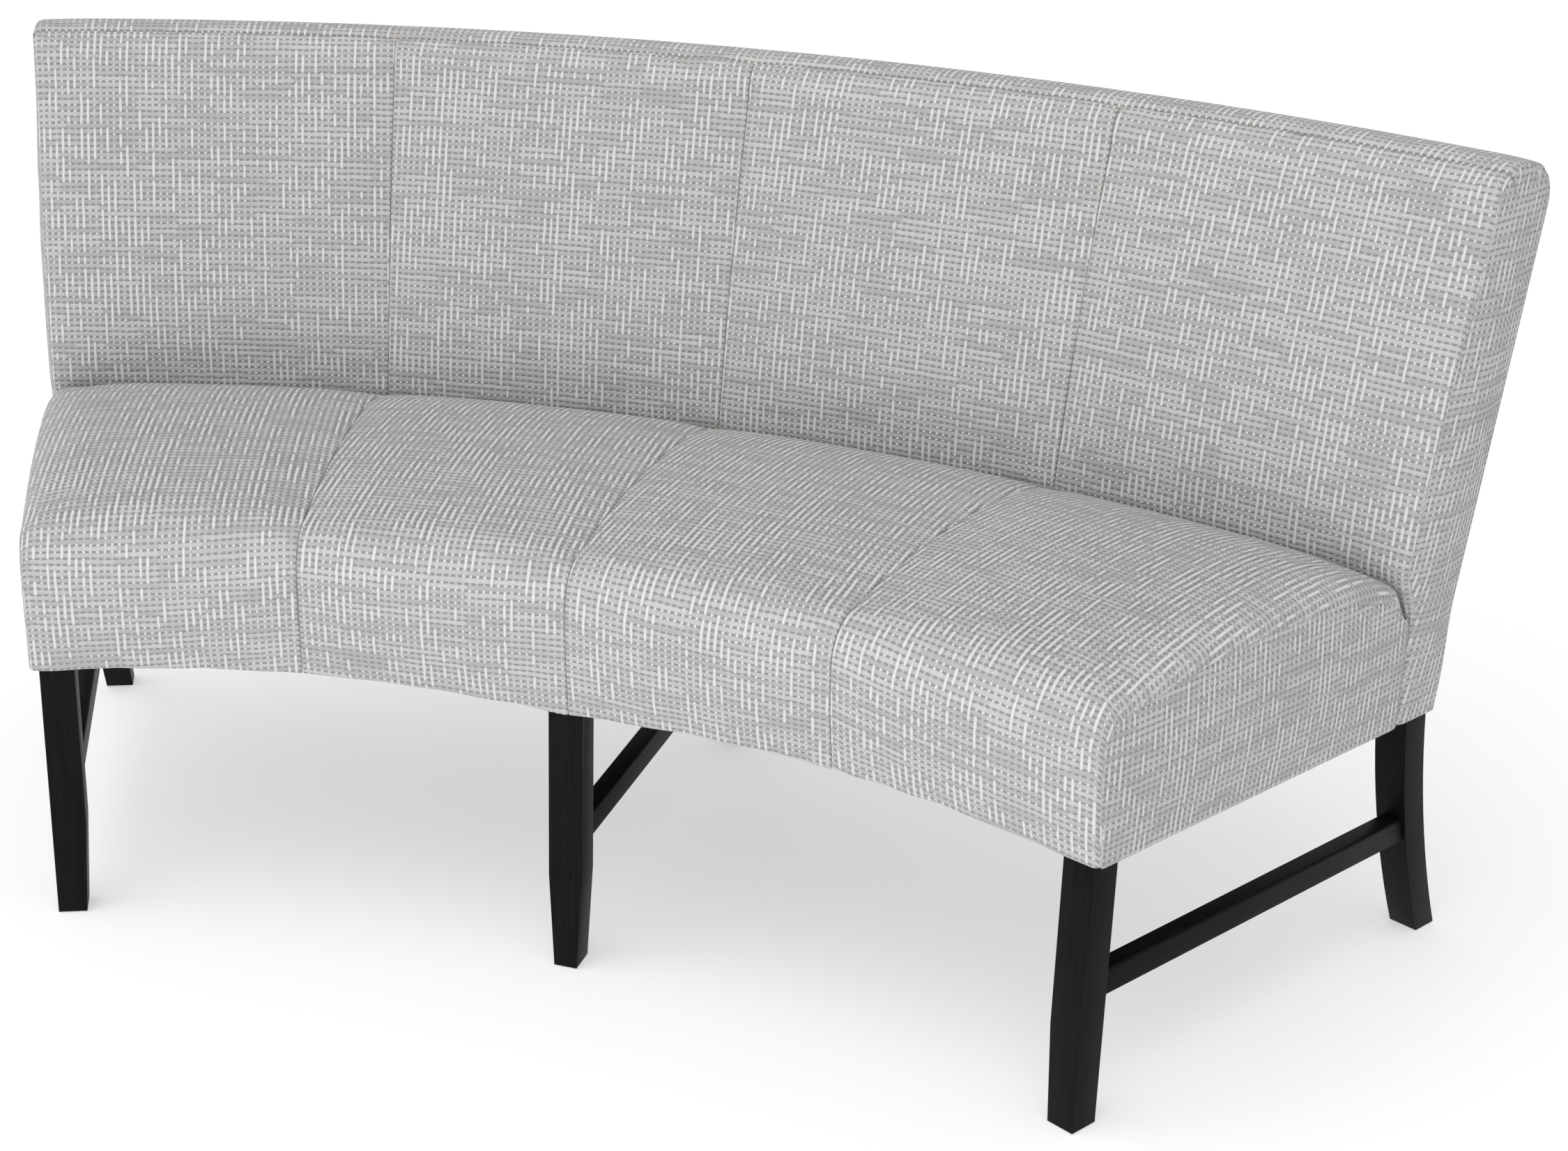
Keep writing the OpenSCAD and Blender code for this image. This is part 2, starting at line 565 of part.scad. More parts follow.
module front_wadding() {
    z = rail_top - fit;
    out = hem_lead - cover_t - foam_gap/2;
    color("#f2f2ee") intersection() {
        sweep([[-3*fit, rail_z], [-out, rail_z], [-out - front_swell*0.7, z], [-3*fit, z]]);
        between_ends(leg_inset + fit, rail_z - overrun, seat_crown_z);
    }
}
// Flat pads over an end of the frame, under the two end gussets
module end_wadding(i) {
    m = pad_margin;
    low = rail_z;
    seat_pad = concat([[m, low], [m, front_fold_z - m/2]],
        [for (d = [fold_top_depth + 2*m, crown_depth, crease_depth - 2*m])
            [d, seat_top(d) - m - seat_edge_r]],
        [[crease_depth - m, front_fold_z - m], [crease_depth - m, low]]);
    back_pad = concat([[tuck_depth(low) + m, low], [tuck_depth(tuck_z) + m, tuck_z],
        [crease_depth + m, crease_z + m/2]],
        [[front_skin(back_fold_z) + m, back_fold_z + m/2], [rear_skin(back_fold_z) - m, back_fold_z + m/2]],
        [for (z = [bend_end_z, kick_z, low]) [rear_skin(z) - m, z]]);
    color("#f2f2ee") station(i) translate([leg_w/2 + fit, 0, 0]) rotate([90, 0, 90])
        linear_extrude(leg_inset - cover_t - 3*fit) for (outline = [seat_pad, back_pad]) polygon(outline);
}
module back_support_panel() {
    color("#cdb184") intersection() {
        sweep(sloped(-arc_lead - fit - panel_t, -arc_lead - fit, foam_z + fit, post_top_z + overrun));
        between_ends(leg_inset + fit, rail_z, top_z);
    }
}
module back_foam() {
    depth = cover_t + foam_gap;
    low = foam_z + 2*depth;
    n = 16;
    last = len(back_profile(low)) - 1;
    color("#e8e3c8") slab(
        [for (k = [0:n]) back_ring(lerp(-end_angle, end_angle, k/n),
            lerp(leg_inset + fit, -leg_inset - fit, k/n), depth, 0, low)],
        [for (k = [0:n]) [for (j = [0:last]) let (z = lerp(foam_z + fit, top_z - 3*depth, j/last))
            place(lerp(-end_angle, end_angle, k/n), [post_front(z) - arc_lead - fit - panel_t -
                2*foam_gap, z],
                lerp(leg_inset + fit, -leg_inset - fit, k/n))]]);
}
module top_wadding() {
    z0 = post_top_z + fit;
    z1 = top_z - cover_t - foam_gap;
    d0 = post_front(post_top_z) + fit;
    d1 = rear_skin(back_fold_z) - rear_fold_run/2 - cover_t - foam_gap;
    color("#f2f2ee") intersection() {
        sweep([[d0, z0], [d1, z0], [d1 - rear_fold_run/2, z1], [d0, z1]]);
        between_ends(leg_inset + fit, rail_z, top_z);
    }
}
module outside_back_lining() {
    d = leg_d + arc_lag;
    color("#a58e68") intersection() {
        sweep(sloped(d, d + lining_t, kick_z, back_fold_z + overrun));
        between_ends(leg_inset + fit, rail_z, top_z);
    }
}

/* Covers */
module seat_cover_panel(k) {
    function rings(depth) = [for (s = panel_shares) let (a = lerp(seam_angle(k), seam_angle(k + 1), s))
        seat_ring(a, panel_shift(k, s), depth, seat_puff*crown(s), hem_z(a), foam_z)];
    color("#c9c8c5") slab(rings(0), rings(cover_t));
}
module back_cover_panel(k) {
    function rings(depth) = [for (s = panel_shares) let (a = lerp(seam_angle(k), seam_angle(k + 1), s))
        back_ring(a, panel_shift(k, s), depth, back_puff*crown(s), foam_z)];
    color("#c9c8c5") slab(rings(0), rings(cover_t));
}
module back_top_band() {
    function rings(depth) = [for (k = [0:panels - 1], s = [for (j = [k == 0 ? 0 : 1:len(panel_shares) -
        1]) panel_shares[j]])
        let (a = lerp(seam_angle(k), seam_angle(k + 1), s))
        band_ring(a, lerp(cover_t + fit, -cover_t - fit, (k + s)/panels), depth)];
    color("#c9c8c5") slab(rings(0), rings(cover_t));
}
// Closed plate at an end: lines run from a base edge to the rim, and its outer face is full in the middle
module gusset(i, base, rim) {
    n = 4;
    last = len(rim) - 1;
    function at(j, t, out) = let (q = lerp(base[j], rim[j], t), xy = fan_point(end_angle, q[0], out))
        [i*xy[0], xy[1] - mid_y, q[1]];
    function swell(j, t) = gusset_puff*pow(sin(180*t)*sin(180*j/last), 0.5);
    outer = [for (j = [0:last]) [for (t = [0:n]) at(j, t/n, swell(j, t/n))]];
    inner = [for (j = [0:last]) [for (t = [0:n]) at(j, t/n, -cover_t)]];
    color("#c9c8c5") if (i > 0) slab(outer, inner); else slab(inner, outer);
}
function edge_line(p, reach_top) = let (n = normals(p))
    moved_in(p, n, [for (m = n) lerp(face_edge_r, reach_top, max(0, m[1]))]);
module seat_end_gusset(i) {
    low = hem_z(end_angle);
    p = seat_profile(low, low);
    e = edge_line(p, seat_edge_r + end_fall);
    rim = [for (j = [1:len(p) - 2]) e[j]];
    last = len(rim) - 1;
    gusset(i, [for (j = [0:last]) [lerp(e[0][0], tuck_depth(low) - face_edge_r, j/last), low]], rim);
}
module back_end_gusset(i) {
    low = hem_z(end_angle);
    e = edge_line(back_profile(low), face_edge_r);
    n = len(e) - 1;
    d = rear_skin(back_fold_z);
    function rear_edge(j) = e[j][1] < back_fold_z ? [rear_skin(e[j][1]) - fit, e[j][1]]
        : let (s = (j - (n - 3))/3) [d - rear_fold_run*(1 - cos(90*s)) - fit,
            back_fold_z + (e[n][1] - back_fold_z)*sin(90*s)];
    gusset(i, [for (j = [0:n]) rear_edge(j)], e);
}
module outside_back_cover() {
    z1 = top_z - rear_fold_rise - seam_gap;
    d = leg_d + skin_out;
    low = hem_middle_z;
    color("#c9c8c5") difference() {
        intersection() {
            sweep(concat([[rear_skin(low) - cover_t, low], [rear_skin(low), low]],
                sloped(d, d - cover_t, kick_z, z1)));
            between_ends(cover_t + fit, low - overrun, top_z);
        }
        for (i = [-1:1]) station(i) translate([0, fit, 0]) rear_leg_shape(i);
    }
}
module dust_cover() {
    color("#1d1d1f") difference() {
        intersection() {
            sweep(box_points(fit, rear_rail_depth + rail_t - fit, rail_z - fit - dust_t, rail_z - fit));
            between_ends(leg_inset + fit, rail_z - overrun, rail_top);
        }
        for (i = [-1:1]) station(i) {
            front_leg_clear();
            rear_leg_clear(i);
            translate([0, -fit, 0]) rear_leg_shape(i);
            translate([-leg_w/2 - fit, post_depth, rail_z - 2*overrun])
                cube([leg_w + 2*fit, leg_w, 4*overrun]);
        }
    }
}

front_leg(-1);  // front_leg_left
front_leg(0);  // front_leg_middle
front_leg(1);  // front_leg_right
rear_leg(-1);  // rear_leg_left
rear_leg(0);  // rear_leg_middle
rear_leg(1);  // rear_leg_right
foot_glides();
stretcher(-1);  // stretcher_left
stretcher(0);  // stretcher_middle
stretcher(1);  // stretcher_right
front_rail(-1);  // front_rail_left
front_rail(1);  // front_rail_right
rear_rail(-1);  // rear_rail_left
rear_rail(1);  // rear_rail_right
straight_rail(-1);  // end_rail_left
straight_rail(1);  // end_rail_right
straight_rail(0);  // middle_rail
back_lower_rail(-1);  // back_lower_rail_left
back_lower_rail(1);  // back_lower_rail_right
back_top_rail(-1);  // back_top_rail_left
back_top_rail(1);  // back_top_rail_right
corner_blocks();
block_screws();
rail_dowels();
seat_webbing();
seat_hessian();
seat_foam();
front_wadding();
end_wadding(-1);  // end_wadding_left
end_wadding(1);  // end_wadding_right
back_support_panel();
back_foam();
top_wadding();
outside_back_lining();
seat_cover_panel(0);  // seat_cover_panel_1
seat_cover_panel(1);  // seat_cover_panel_2
seat_cover_panel(2);  // seat_cover_panel_3
seat_cover_panel(3);  // seat_cover_panel_4
seat_end_gusset(-1);  // seat_end_gusset_left
seat_end_gusset(1);  // seat_end_gusset_right
back_cover_panel(0);  // back_cover_panel_1
back_cover_panel(1);  // back_cover_panel_2
back_cover_panel(2);  // back_cover_panel_3
back_cover_panel(3);  // back_cover_panel_4
back_top_band();
back_end_gusset(-1);  // back_end_gusset_left
back_end_gusset(1);  // back_end_gusset_right
outside_back_cover();
dust_cover();
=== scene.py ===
"""Looks of a curved, armless, upholstered banquette bench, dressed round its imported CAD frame."""

import json
import logging
import math
from collections.abc import Callable
from dataclasses import dataclass, field
from enum import Enum

import bpy
import numpy as np
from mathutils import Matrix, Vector

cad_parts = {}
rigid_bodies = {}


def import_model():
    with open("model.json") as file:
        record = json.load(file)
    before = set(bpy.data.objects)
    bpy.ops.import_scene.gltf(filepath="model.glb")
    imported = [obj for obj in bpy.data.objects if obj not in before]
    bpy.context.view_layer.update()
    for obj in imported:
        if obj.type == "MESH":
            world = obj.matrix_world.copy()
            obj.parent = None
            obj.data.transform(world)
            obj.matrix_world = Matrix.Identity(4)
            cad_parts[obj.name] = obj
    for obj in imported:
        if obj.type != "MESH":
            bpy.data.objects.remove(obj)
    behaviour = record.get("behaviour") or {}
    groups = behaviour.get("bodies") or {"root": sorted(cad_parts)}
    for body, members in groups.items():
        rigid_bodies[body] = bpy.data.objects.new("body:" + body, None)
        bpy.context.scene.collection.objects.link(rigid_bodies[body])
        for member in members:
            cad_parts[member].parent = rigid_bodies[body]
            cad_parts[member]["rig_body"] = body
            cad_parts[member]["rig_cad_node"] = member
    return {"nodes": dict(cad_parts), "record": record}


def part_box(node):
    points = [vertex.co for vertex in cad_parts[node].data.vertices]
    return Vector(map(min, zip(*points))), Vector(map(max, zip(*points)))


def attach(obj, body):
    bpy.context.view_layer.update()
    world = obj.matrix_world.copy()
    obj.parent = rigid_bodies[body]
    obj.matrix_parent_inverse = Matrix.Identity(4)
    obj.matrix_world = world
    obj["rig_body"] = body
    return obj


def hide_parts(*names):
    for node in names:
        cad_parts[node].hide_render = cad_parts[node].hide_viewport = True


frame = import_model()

log = logging.getLogger("bench")
Array = np.ndarray
Colour = tuple[float, float, float]
Where = Callable[[Array, Array], tuple[Array, ...]]


# Shader writing


class Value:
    """A shader socket that takes part in Python sums by adding Math nodes."""

    def __init__(self, kit: "NodeKit", socket: bpy.types.NodeSocket) -> None:
        """Wraps a socket.

        Args:
            kit: the node tree's kit, which adds the Math nodes.
            socket: the output that this value stands for.
        """
        self.kit = kit
        self.socket = socket

    def math(self, operation: str, *others: "Value | float", first: bool = True) -> "Value":
        """Adds a Math node.

        Args:
            operation: the Math node's operation.
            others: the other inputs.
            first: whether this value is the first input, or the second.

        Returns:
            The node's result.
        """
        values = [self, *others] if first else [*others, self]
        node = self.kit.node("ShaderNodeMath", {"operation": operation}, dict(enumerate(values)))
        return Value(self.kit, node.outputs[0])

    def __add__(self, other: "Value | float") -> "Value":
        """Sum."""
        return self.math("ADD", other)

    __radd__ = __add__

    def __mul__(self, other: "Value | float") -> "Value":
        """Product."""
        return self.math("MULTIPLY", other)

    __rmul__ = __mul__

    def __sub__(self, other: "Value | float") -> "Value":
        """Difference."""
        return self.math("SUBTRACT", other)

    def __rsub__(self, other: float) -> "Value":
        """Difference from a number."""
        return self.math("SUBTRACT", other, first=False)

    def __truediv__(self, other: "Value | float") -> "Value":
        """Quotient."""
        return self.math("DIVIDE", other)

    def __pow__(self, other: float) -> "Value":
        """Power."""
        return self.math("POWER", other)

    def __gt__(self, other: "Value | float") -> "Value":
        """1 where this value is the greater, else 0."""
        return self.math("GREATER_THAN", other)

    def floor(self) -> "Value":
        """Whole part."""
        return self.math("FLOOR")

    def fract(self) -> "Value":
        """Part after the point."""
        return self.math("FRACT")

    def size(self) -> "Value":
        """Absolute value."""
        return self.math("ABSOLUTE")

    def most(self, other: "Value | float") -> "Value":
        """The greater of two values."""
        return self.math("MAXIMUM", other)

    def least(self, other: "Value | float") -> "Value":
        """The smaller of two values."""
        return self.math("MINIMUM", other)

    def held(self) -> "Value":
        """Held between 0 and 1."""
        return self.most(0.0).least(1.0)

    def root(self) -> "Value":
        """Square root."""
        return self.math("SQRT")

    def wave(self) -> "Value":
        """Sine."""
        return self.math("SINE")


class NodeKit:
    """A material's node tree, with one way to add every node."""

    def __init__(self, name: str) -> None:
        """Starts an empty material with its output.

        Args:
            name: the material's name.
        """
        self.material = bpy.data.materials.new(name)
        self.material.use_nodes = True
        self.tree = self.material.node_tree
        self.tree.nodes.clear()
        self.output = self.tree.nodes.new("ShaderNodeOutputMaterial")

    def node(self, kind: str, settings: dict[str, object] | None = None,
             inputs: dict[str | int, object] | None = None) -> bpy.types.Node:
        """Adds a node.

        Args:
            kind: the node's type.
            settings: its settings, set before its sockets.
            inputs: values, sockets or Values of its inputs, by name or number.

        Returns:
            The node.
        """
        made = self.tree.nodes.new(kind)
        for key, value in (settings or {}).items():
            setattr(made, key, value)
        for key, value in (inputs or {}).items():
            target = made.inputs[key]
            if isinstance(value, Value):
                value = value.socket
            if isinstance(value, bpy.types.NodeSocket):
                self.tree.links.new(value, target)
            elif isinstance(value, tuple) and len(value) == 3 and target.type == "RGBA":
                target.default_value = (*value, 1.0)
            else:
                target.default_value = value
        return made

    def value(self, kind: str, settings: dict[str, object] | None = None,
              inputs: dict[str | int, object] | None = None, out: str | int = 0) -> Value:
        """Adds a node and returns one of its outputs as a Value.

        Args:
            kind: the node's type.
            settings: its settings.
            inputs: its inputs.
            out: the output's name or number.

        Returns:
            The output.
        """
        return Value(self, self.node(kind, settings, inputs).outputs[out])

    def pair(self, x: "Value | float", y: "Value | float", z: "Value | float" = 0.0) -> bpy.types.NodeSocket:
        """A vector of three values."""
        return self.node("ShaderNodeCombineXYZ", None, {0: x, 1: y, 2: z}).outputs[0]

    def split(self, vector: bpy.types.NodeSocket) -> tuple[Value, Value, Value]:
        """The three parts of a vector."""
        made = self.node("ShaderNodeSeparateXYZ", None, {0: vector})
        return tuple(Value(self, o) for o in made.outputs)

    def noise(self, vector: bpy.types.NodeSocket, scale: float, detail: float = 2.0) -> Value:
        """Smooth noise from about 0.3 to 0.7 round 0.5."""
        inputs = {"Vector": vector, "Scale": scale, "Detail": detail}
        return self.value("ShaderNodeTexNoise", {"noise_dimensions": "3D"}, inputs)

    def chance(self, x: "Value | float", y: "Value | float") -> Value:
        """One even random number for each pair of whole numbers."""
        inputs = {"Vector": self.pair(x, y)}
        return self.value("ShaderNodeTexWhiteNoise", {"noise_dimensions": "2D"}, inputs)

    def blend(self, factor: "Value | float", a: object, b: object) -> bpy.types.NodeSocket:
        """Mix of two colours.

        Args:
            factor: 0 for the first colour, 1 for the second.
            a: the first colour.
            b: the second colour.

        Returns:
            The mixed colour's socket.
        """
        made = self.node("ShaderNodeMix", {"data_type": "RGBA"}, {0: factor, 6: a, 7: b})
        return made.outputs[2]

    def place(self) -> bpy.types.NodeSocket:
        """Object coordinates, which are the bench's own frame in metres."""
        return self.node("ShaderNodeTexCoord").outputs["Object"]

    def surface(self, colour: object, roughness: object, height: Value | None = None, rise: float = 0.001,
                **constants: object) -> bpy.types.Material:
        """Ends the material with a Principled shader.

        Args:
            colour: base colour or its socket.
            roughness: roughness or its value.
            height: relief from 0 to 1.
            rise: the relief's height in metres.
            constants: other sockets of the shader, with _ for spaces.

        Returns:
            The finished material.
        """
        inputs: dict[str | int, object] = {"Base Color": colour, "Roughness": roughness}
        inputs.update({k.replace("_", " "): v for k, v in constants.items()})
        if height is not None:
            bump = self.node("ShaderNodeBump", None, {"Strength": 1.0, "Distance": rise, "Height": height})
            inputs["Normal"] = bump.outputs[0]
        shader = self.node("ShaderNodeBsdfPrincipled", None, inputs)
        self.tree.links.new(shader.outputs[0], self.output.inputs[0])
        return self.material


# Finishes


def toned(colour: Colour, factor: float) -> Colour:
    """A colour made lighter or darker."""
    return tuple(c * factor for c in colour)


@dataclass(frozen=True)
class WovenCover:
    """Coarse slub weave: cream warp floats over nubby grey wefts, on a speckled ground.

    Lengths are in metres of cloth. What is named "from" is the chance above which its effect shows.
    """

    cream: Colour = (0.76, 0.748, 0.735)
    grey: Colour = (0.412, 0.404, 0.400)
    ground: Colour = (0.315, 0.307, 0.303)
    column: float = 0.0077
    row: float = 0.0068
    rise: float = 0.0030
    warp_sway: float = 0.0016
    weft_sway: float = 0.0018
    shortest_float: float = 3.0
    float_lengths: float = 4.0
    float_from: float = 0.56
    float_drift: float = 0.7
    thick_weft_from: float = 0.93
    thick_weft_lanes: float = 8.0
    groove_from: float = 0.55
    groove_lanes: float = 6.0
    groove_depth: float = 0.85
    yarn_half: float = 0.20
    slub: float = 0.15
    float_end: float = 0.30
    weft_half: float = 0.40
    weft_rise: float = 0.62
    roughness: float = 0.92

    def material(self) -> bpy.types.Material:
        """Builds the weave from the piece's own cloth coordinates.

        Returns:
            The cover's material.
        """
        kit = NodeKit("woven_cover")
        cloth = kit.node("ShaderNodeUVMap", {"uv_map": "cloth"}).outputs[0]
        u0, v0, _ = kit.split(cloth)
        u = u0 + (kit.noise(cloth, 60.0, 1.0) - 0.5) * self.warp_sway
        v = v0 + (kit.noise(kit.pair(v0, u0), 55.0, 1.0) - 0.5) * self.weft_sway
        across, along = u / self.column, v / self.row
        fu, fv = across.fract() - 0.5, along.fract() - 0.5
        fibre = kit.noise(kit.pair(u0, v0 * 2.4), 900.0, 3.0)
        floats, groove, thick = self.pattern(kit, across, along, kit.pair(u0, v0 * 0.6))
        slub = kit.noise(kit.pair(u0 * 0.3, v0), 190.0, 3.0)
        bar = (1.0 - (fu / (self.yarn_half + slub * self.slub)) ** 2.0).held()
        ends = (0.5 - fv.size()) / self.float_end
        dot = (bar - ends * ends).held() * (1.0 - groove * self.groove_depth)
        warp = (bar * floats).most(dot).root()
        bulge = (1.0 - (fv / (self.weft_half + thick * 0.04)) ** 2.0).held().root()
        rib = bulge * (0.86 + (across * math.tau).wave() * 0.10)
        height = warp.most(rib * self.weft_rise) + (fibre - 0.5) * 0.35
        yarn = kit.noise(kit.pair(u0, v0 * 5.0), 320.0, 2.0)
        tone = kit.chance(along.floor(), (across.floor() / 6.0).floor())
        shade = (tone * 0.9 + (yarn - 0.5) * 1.3 - thick * 0.6).held()
        wefts = kit.blend(shade, self.grey, toned(self.grey, 1.36))
        colour = self.colours(kit, fibre, wefts, (fu, floats), (warp, rib, height))
        return kit.surface(colour, self.roughness, height, self.rise, Sheen_Weight=0.12, Sheen_Roughness=0.5,
                           Specular_IOR_Level=0.25)

    def pattern(self, kit: NodeKit, across: Value, along: Value,
                cloud: bpy.types.NodeSocket) -> tuple[Value, Value, Value]:
        """Where the warp floats, where a furrow cuts it and where a weft is thick.

        Args:
            kit: the material's kit.
            across: place across the warp yarns, in yarns.
            along: place along them, in wefts.
            cloud: coordinates on which floats grow more or less frequent.

        Returns:
            The floats, the furrows and the thick wefts, each 1 or 0.
        """
        lane, pick = across.floor(), along.floor()
        lane_chance = kit.chance(lane, 7.0)
        run = (lane_chance * self.float_lengths).floor() + self.shortest_float
        place = (pick + (lane_chance * 19.0).floor()) / run
        block, last = place.floor(), place.fract() * run > run - 1.1
        drift = kit.noise(cloud, 14.0, 2.0)
        weft_run = (across / self.thick_weft_lanes + kit.chance(pick, 3.0) * 5.0).floor()
        thick = kit.chance(pick, weft_run) > self.thick_weft_from
        edge = (along + 0.5).floor()
        edge_run = (across / self.groove_lanes + kit.chance(edge, 5.0) * 5.0).floor()
        groove = kit.chance(edge + 0.5, edge_run) > self.groove_from
        chosen = kit.chance(lane, block) > self.float_from + (drift - 0.5) * self.float_drift
        return chosen * (1.0 - thick) * (1.0 - last), groove, thick

    def colours(self, kit: NodeKit, fibre: Value, wefts: bpy.types.NodeSocket, lanes: tuple[Value, Value],
                relief: tuple[Value, Value, Value]) -> bpy.types.NodeSocket:
        """Colours the ground, the wefts, the furrows and the warp, one over the other, and paints shade in
        the hollows.

        Args:
            kit: the material's kit.
            fibre: fine noise of the fibres.
            wefts: the wefts' colour.
            lanes: place across a warp yarn from its middle, and where the warp floats.
            relief: heights of the warp, of the wefts and of both together.

        Returns:
            The colour's socket.
        """
        lie = kit.value("ShaderNodeAttribute", {"attribute_name": "lie"}, out="Fac")
        (fu, floats), (warp, rib, height) = lanes, relief
        speckle = ((fibre - 0.42) * 4.0).held()
        ground = kit.blend(speckle, toned(self.ground, 0.75), toned(self.ground, 1.7))
        # Painted shade: the furrows' ground darkens as far as the piece's 'lie' attribute says.
        shadow = kit.blend(lie, self.ground, toned(self.ground, 0.60))
        # The ground shows in the gaps between warp yarns, more beside floats; the part that the lie attribute
        # adds is painted shade.
        between = ((fu.size() - 0.28 + lie * 0.04) / 0.18).held() * (lie * 0.24 + floats * 0.40 + 0.16)
        base = kit.blend(between, kit.blend((rib * 2.0 - 0.35).held(), ground, wefts), shadow)
        cream = kit.blend(((fibre - 0.35) * 2.0).held(), toned(self.cream, 0.86), self.cream)
        yarns = kit.blend((warp * 2.2 - 0.5).held(), base, cream)
        # Painted shade: the lowest places of the relief darken to the ground colour at 0.7.
        return kit.blend((height * 2.4 + 0.4).held(), toned(self.ground, 0.7), yarns)


class Grain(Enum):
    """Axis that the grain of a wooden piece runs along, by its number."""

    ACROSS = 0
    REAR = 1
    UP = 2


def drawn_out(kit: NodeKit, vector: bpy.types.NodeSocket, grain: Grain, share: float) -> bpy.types.NodeSocket:
    """Coordinates on which noise is drawn out along the grain.

    Args:
        kit: the material's kit.
        vector: plain coordinates.
        grain: the grain's axis.
        share: how much slower they run along the grain.

    Returns:
        The new coordinates.
    """
    parts = list(kit.split(vector))
    parts[grain.value] = parts[grain.value] * share
    return kit.pair(*parts)


@dataclass(frozen=True)
class StainedWood:
    """Near-black satin stain over close hardwood grain."""

    name: str
    grain: Grain
    turn: float = 0.0
    dark: Colour = (0.0034, 0.0034, 0.0046)
    light: Colour = (0.0072, 0.0072, 0.0088)
    rough: float = 0.42

    def material(self) -> bpy.types.Material:
        """Builds the stained wood.

        Returns:
            The material.
        """
        kit = NodeKit(self.name)
        turned = kit.node("ShaderNodeMapping", {"vector_type": "POINT"}, {"Vector": kit.place()})
        turned.inputs["Rotation"].default_value = (0.0, 0.0, self.turn)
        long = drawn_out(kit, turned.outputs[0], self.grain, 0.05)
        streak = kit.noise(long, 240.0, 4.0)
        pores = ((kit.noise(long, 900.0, 2.0) - 0.56) * 6.0).held()
        worn = kit.noise(kit.place(), 9.0, 3.0)
        colour = kit.blend(((streak - 0.3) * 2.2).held(), self.dark, self.light)
        rough = self.rough + (worn - 0.5) * 0.16 + pores * 0.10
        height = streak * 0.5 - pores
        return kit.surface(colour, rough, height, 0.00008, Specular_IOR_Level=0.06)


@dataclass(frozen=True)
class BareWood:
    """Unfinished wood or ply of the inner frame."""

    name: str
    dark: Colour
    light: Colour
    ring: float = 42.0

    def material(self) -> bpy.types.Material:
        """Builds the bare wood.

        Returns:
            The material.
        """
        kit = NodeKit(self.name)
        long = drawn_out(kit, kit.place(), Grain.ACROSS, 0.07)
        rings = kit.noise(long, self.ring, 5.0)
        streak = kit.noise(long, self.ring * 12.0, 3.0)
        band = (rings * 24.0).wave() * 0.25 + 0.5
        colour = kit.blend((band * 0.7 + (streak - 0.4) * 0.9).held(), self.dark, self.light)
        return kit.surface(colour, 0.62 + (streak - 0.5) * 0.3, streak, 0.0003)


@dataclass(frozen=True)
class PlainCloth:
    """Inner cloths, foam and wadding: a fine square weave, cells or loose fibre."""

    name: str
    dark: Colour
    light: Colour
    pitch: float
    woven: float = 1.0
    rise: float = 0.0005

    def material(self) -> bpy.types.Material:
        """Builds the cloth from object coordinates.

        Returns:
            The material.
        """
        kit = NodeKit(self.name)
        x, y, z = kit.split(kit.place())
        warp = ((x + z) * (math.tau / self.pitch)).wave()
        weft = ((y - z) * (math.tau / self.pitch)).wave()
        weave = (warp * weft) * (0.5 * self.woven) + 0.5
        fibre = kit.noise(kit.place(), 1.3 / self.pitch, 4.0)
        height = weave * 0.6 + fibre * 0.6
        colour = kit.blend(((height - 0.35) * 1.6).held(), self.dark, self.light)
        return kit.surface(colour, 0.9, height, self.rise)


@dataclass(frozen=True)
class HardFinish:
    """Metal or nylon of the small hardware, with fine scuffs."""

    name: str
    base: Colour
    metallic: float
    rough: float

    def material(self) -> bpy.types.Material:
        """Builds the finish.

        Returns:
            The material.
        """
        kit = NodeKit(self.name)
        scuff = kit.noise(kit.place(), 700.0, 4.0)
        cloud = kit.noise(kit.place(), 60.0, 2.0)
        colour = kit.blend(((cloud - 0.3) * 2.0).held(), toned(self.base, 0.8), self.base)
        return kit.surface(colour, self.rough + (scuff - 0.5) * 0.3, scuff, 0.00006, Metallic=self.metallic)


# Plan and profiles


@dataclass
class Plan:
    """The bench's plan: concentric arcs, crossed by seams that fan out from one point. Metres."""

    leg_arc_r: float = 1.604
    fan_offset: float = 0.344
    end_angle: float = math.radians(27.1)
    panels: int = 4
    leg_w: float = 0.038
    middle_turn: float = math.radians(1.7)
    centre_y: float = field(init=False)

    def __post_init__(self) -> None:
        """Places the arcs' centre from the middle front leg, whose turned front face holds the leg line."""
        low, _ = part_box("front_leg_middle")
        self.centre_y = low.y + self.leg_w / 2 * math.sin(self.middle_turn) - self.leg_arc_r

    def seam(self, k: float) -> float:
        """Angle of a seam, numbered from 0 at the left end."""
        return self.end_angle * (2 * k / self.panels - 1)

    def radius(self, depth: Array | float) -> Array | float:
        """Distance from the fan point, on the centre line, of a depth behind the leg line."""
        return self.leg_arc_r - self.fan_offset + depth

    def reach(self, a: Array, depth: Array) -> Array:
        """Distance from the fan point, at an angle, of the arc at a depth behind the leg line."""
        r = self.leg_arc_r + depth
        return np.sqrt(r * r - (self.fan_offset * np.sin(a)) ** 2) - self.fan_offset * np.cos(a)

    def put(self, a: Array, depth: Array, z: Array, shift: Array | float = 0.0) -> Array:
        """Points in the bench's frame.

        Args:
            a: angles from the centre line.
            depth: depths behind the leg line.
            z: heights.
            shift: sideways moves, square to the fan line.

        Returns:
            The points, with x, y and z along the last axis.
        """
        s = self.reach(a, depth)
        x = s * np.sin(a) + shift * np.cos(a)
        y = self.centre_y + self.fan_offset + s * np.cos(a) - shift * np.sin(a)
        return np.stack([x, y, z], -1)

    def end_distance(self, a: Array, depth: Array) -> Array:
        """Distance of a point from the nearer end of the bench."""
        return self.radius(depth) * np.sin(self.end_angle - np.abs(a))


def clamp(share: Array) -> Array:
    """A share held between 0 and 1."""
    return np.clip(share, 0.0, 1.0)


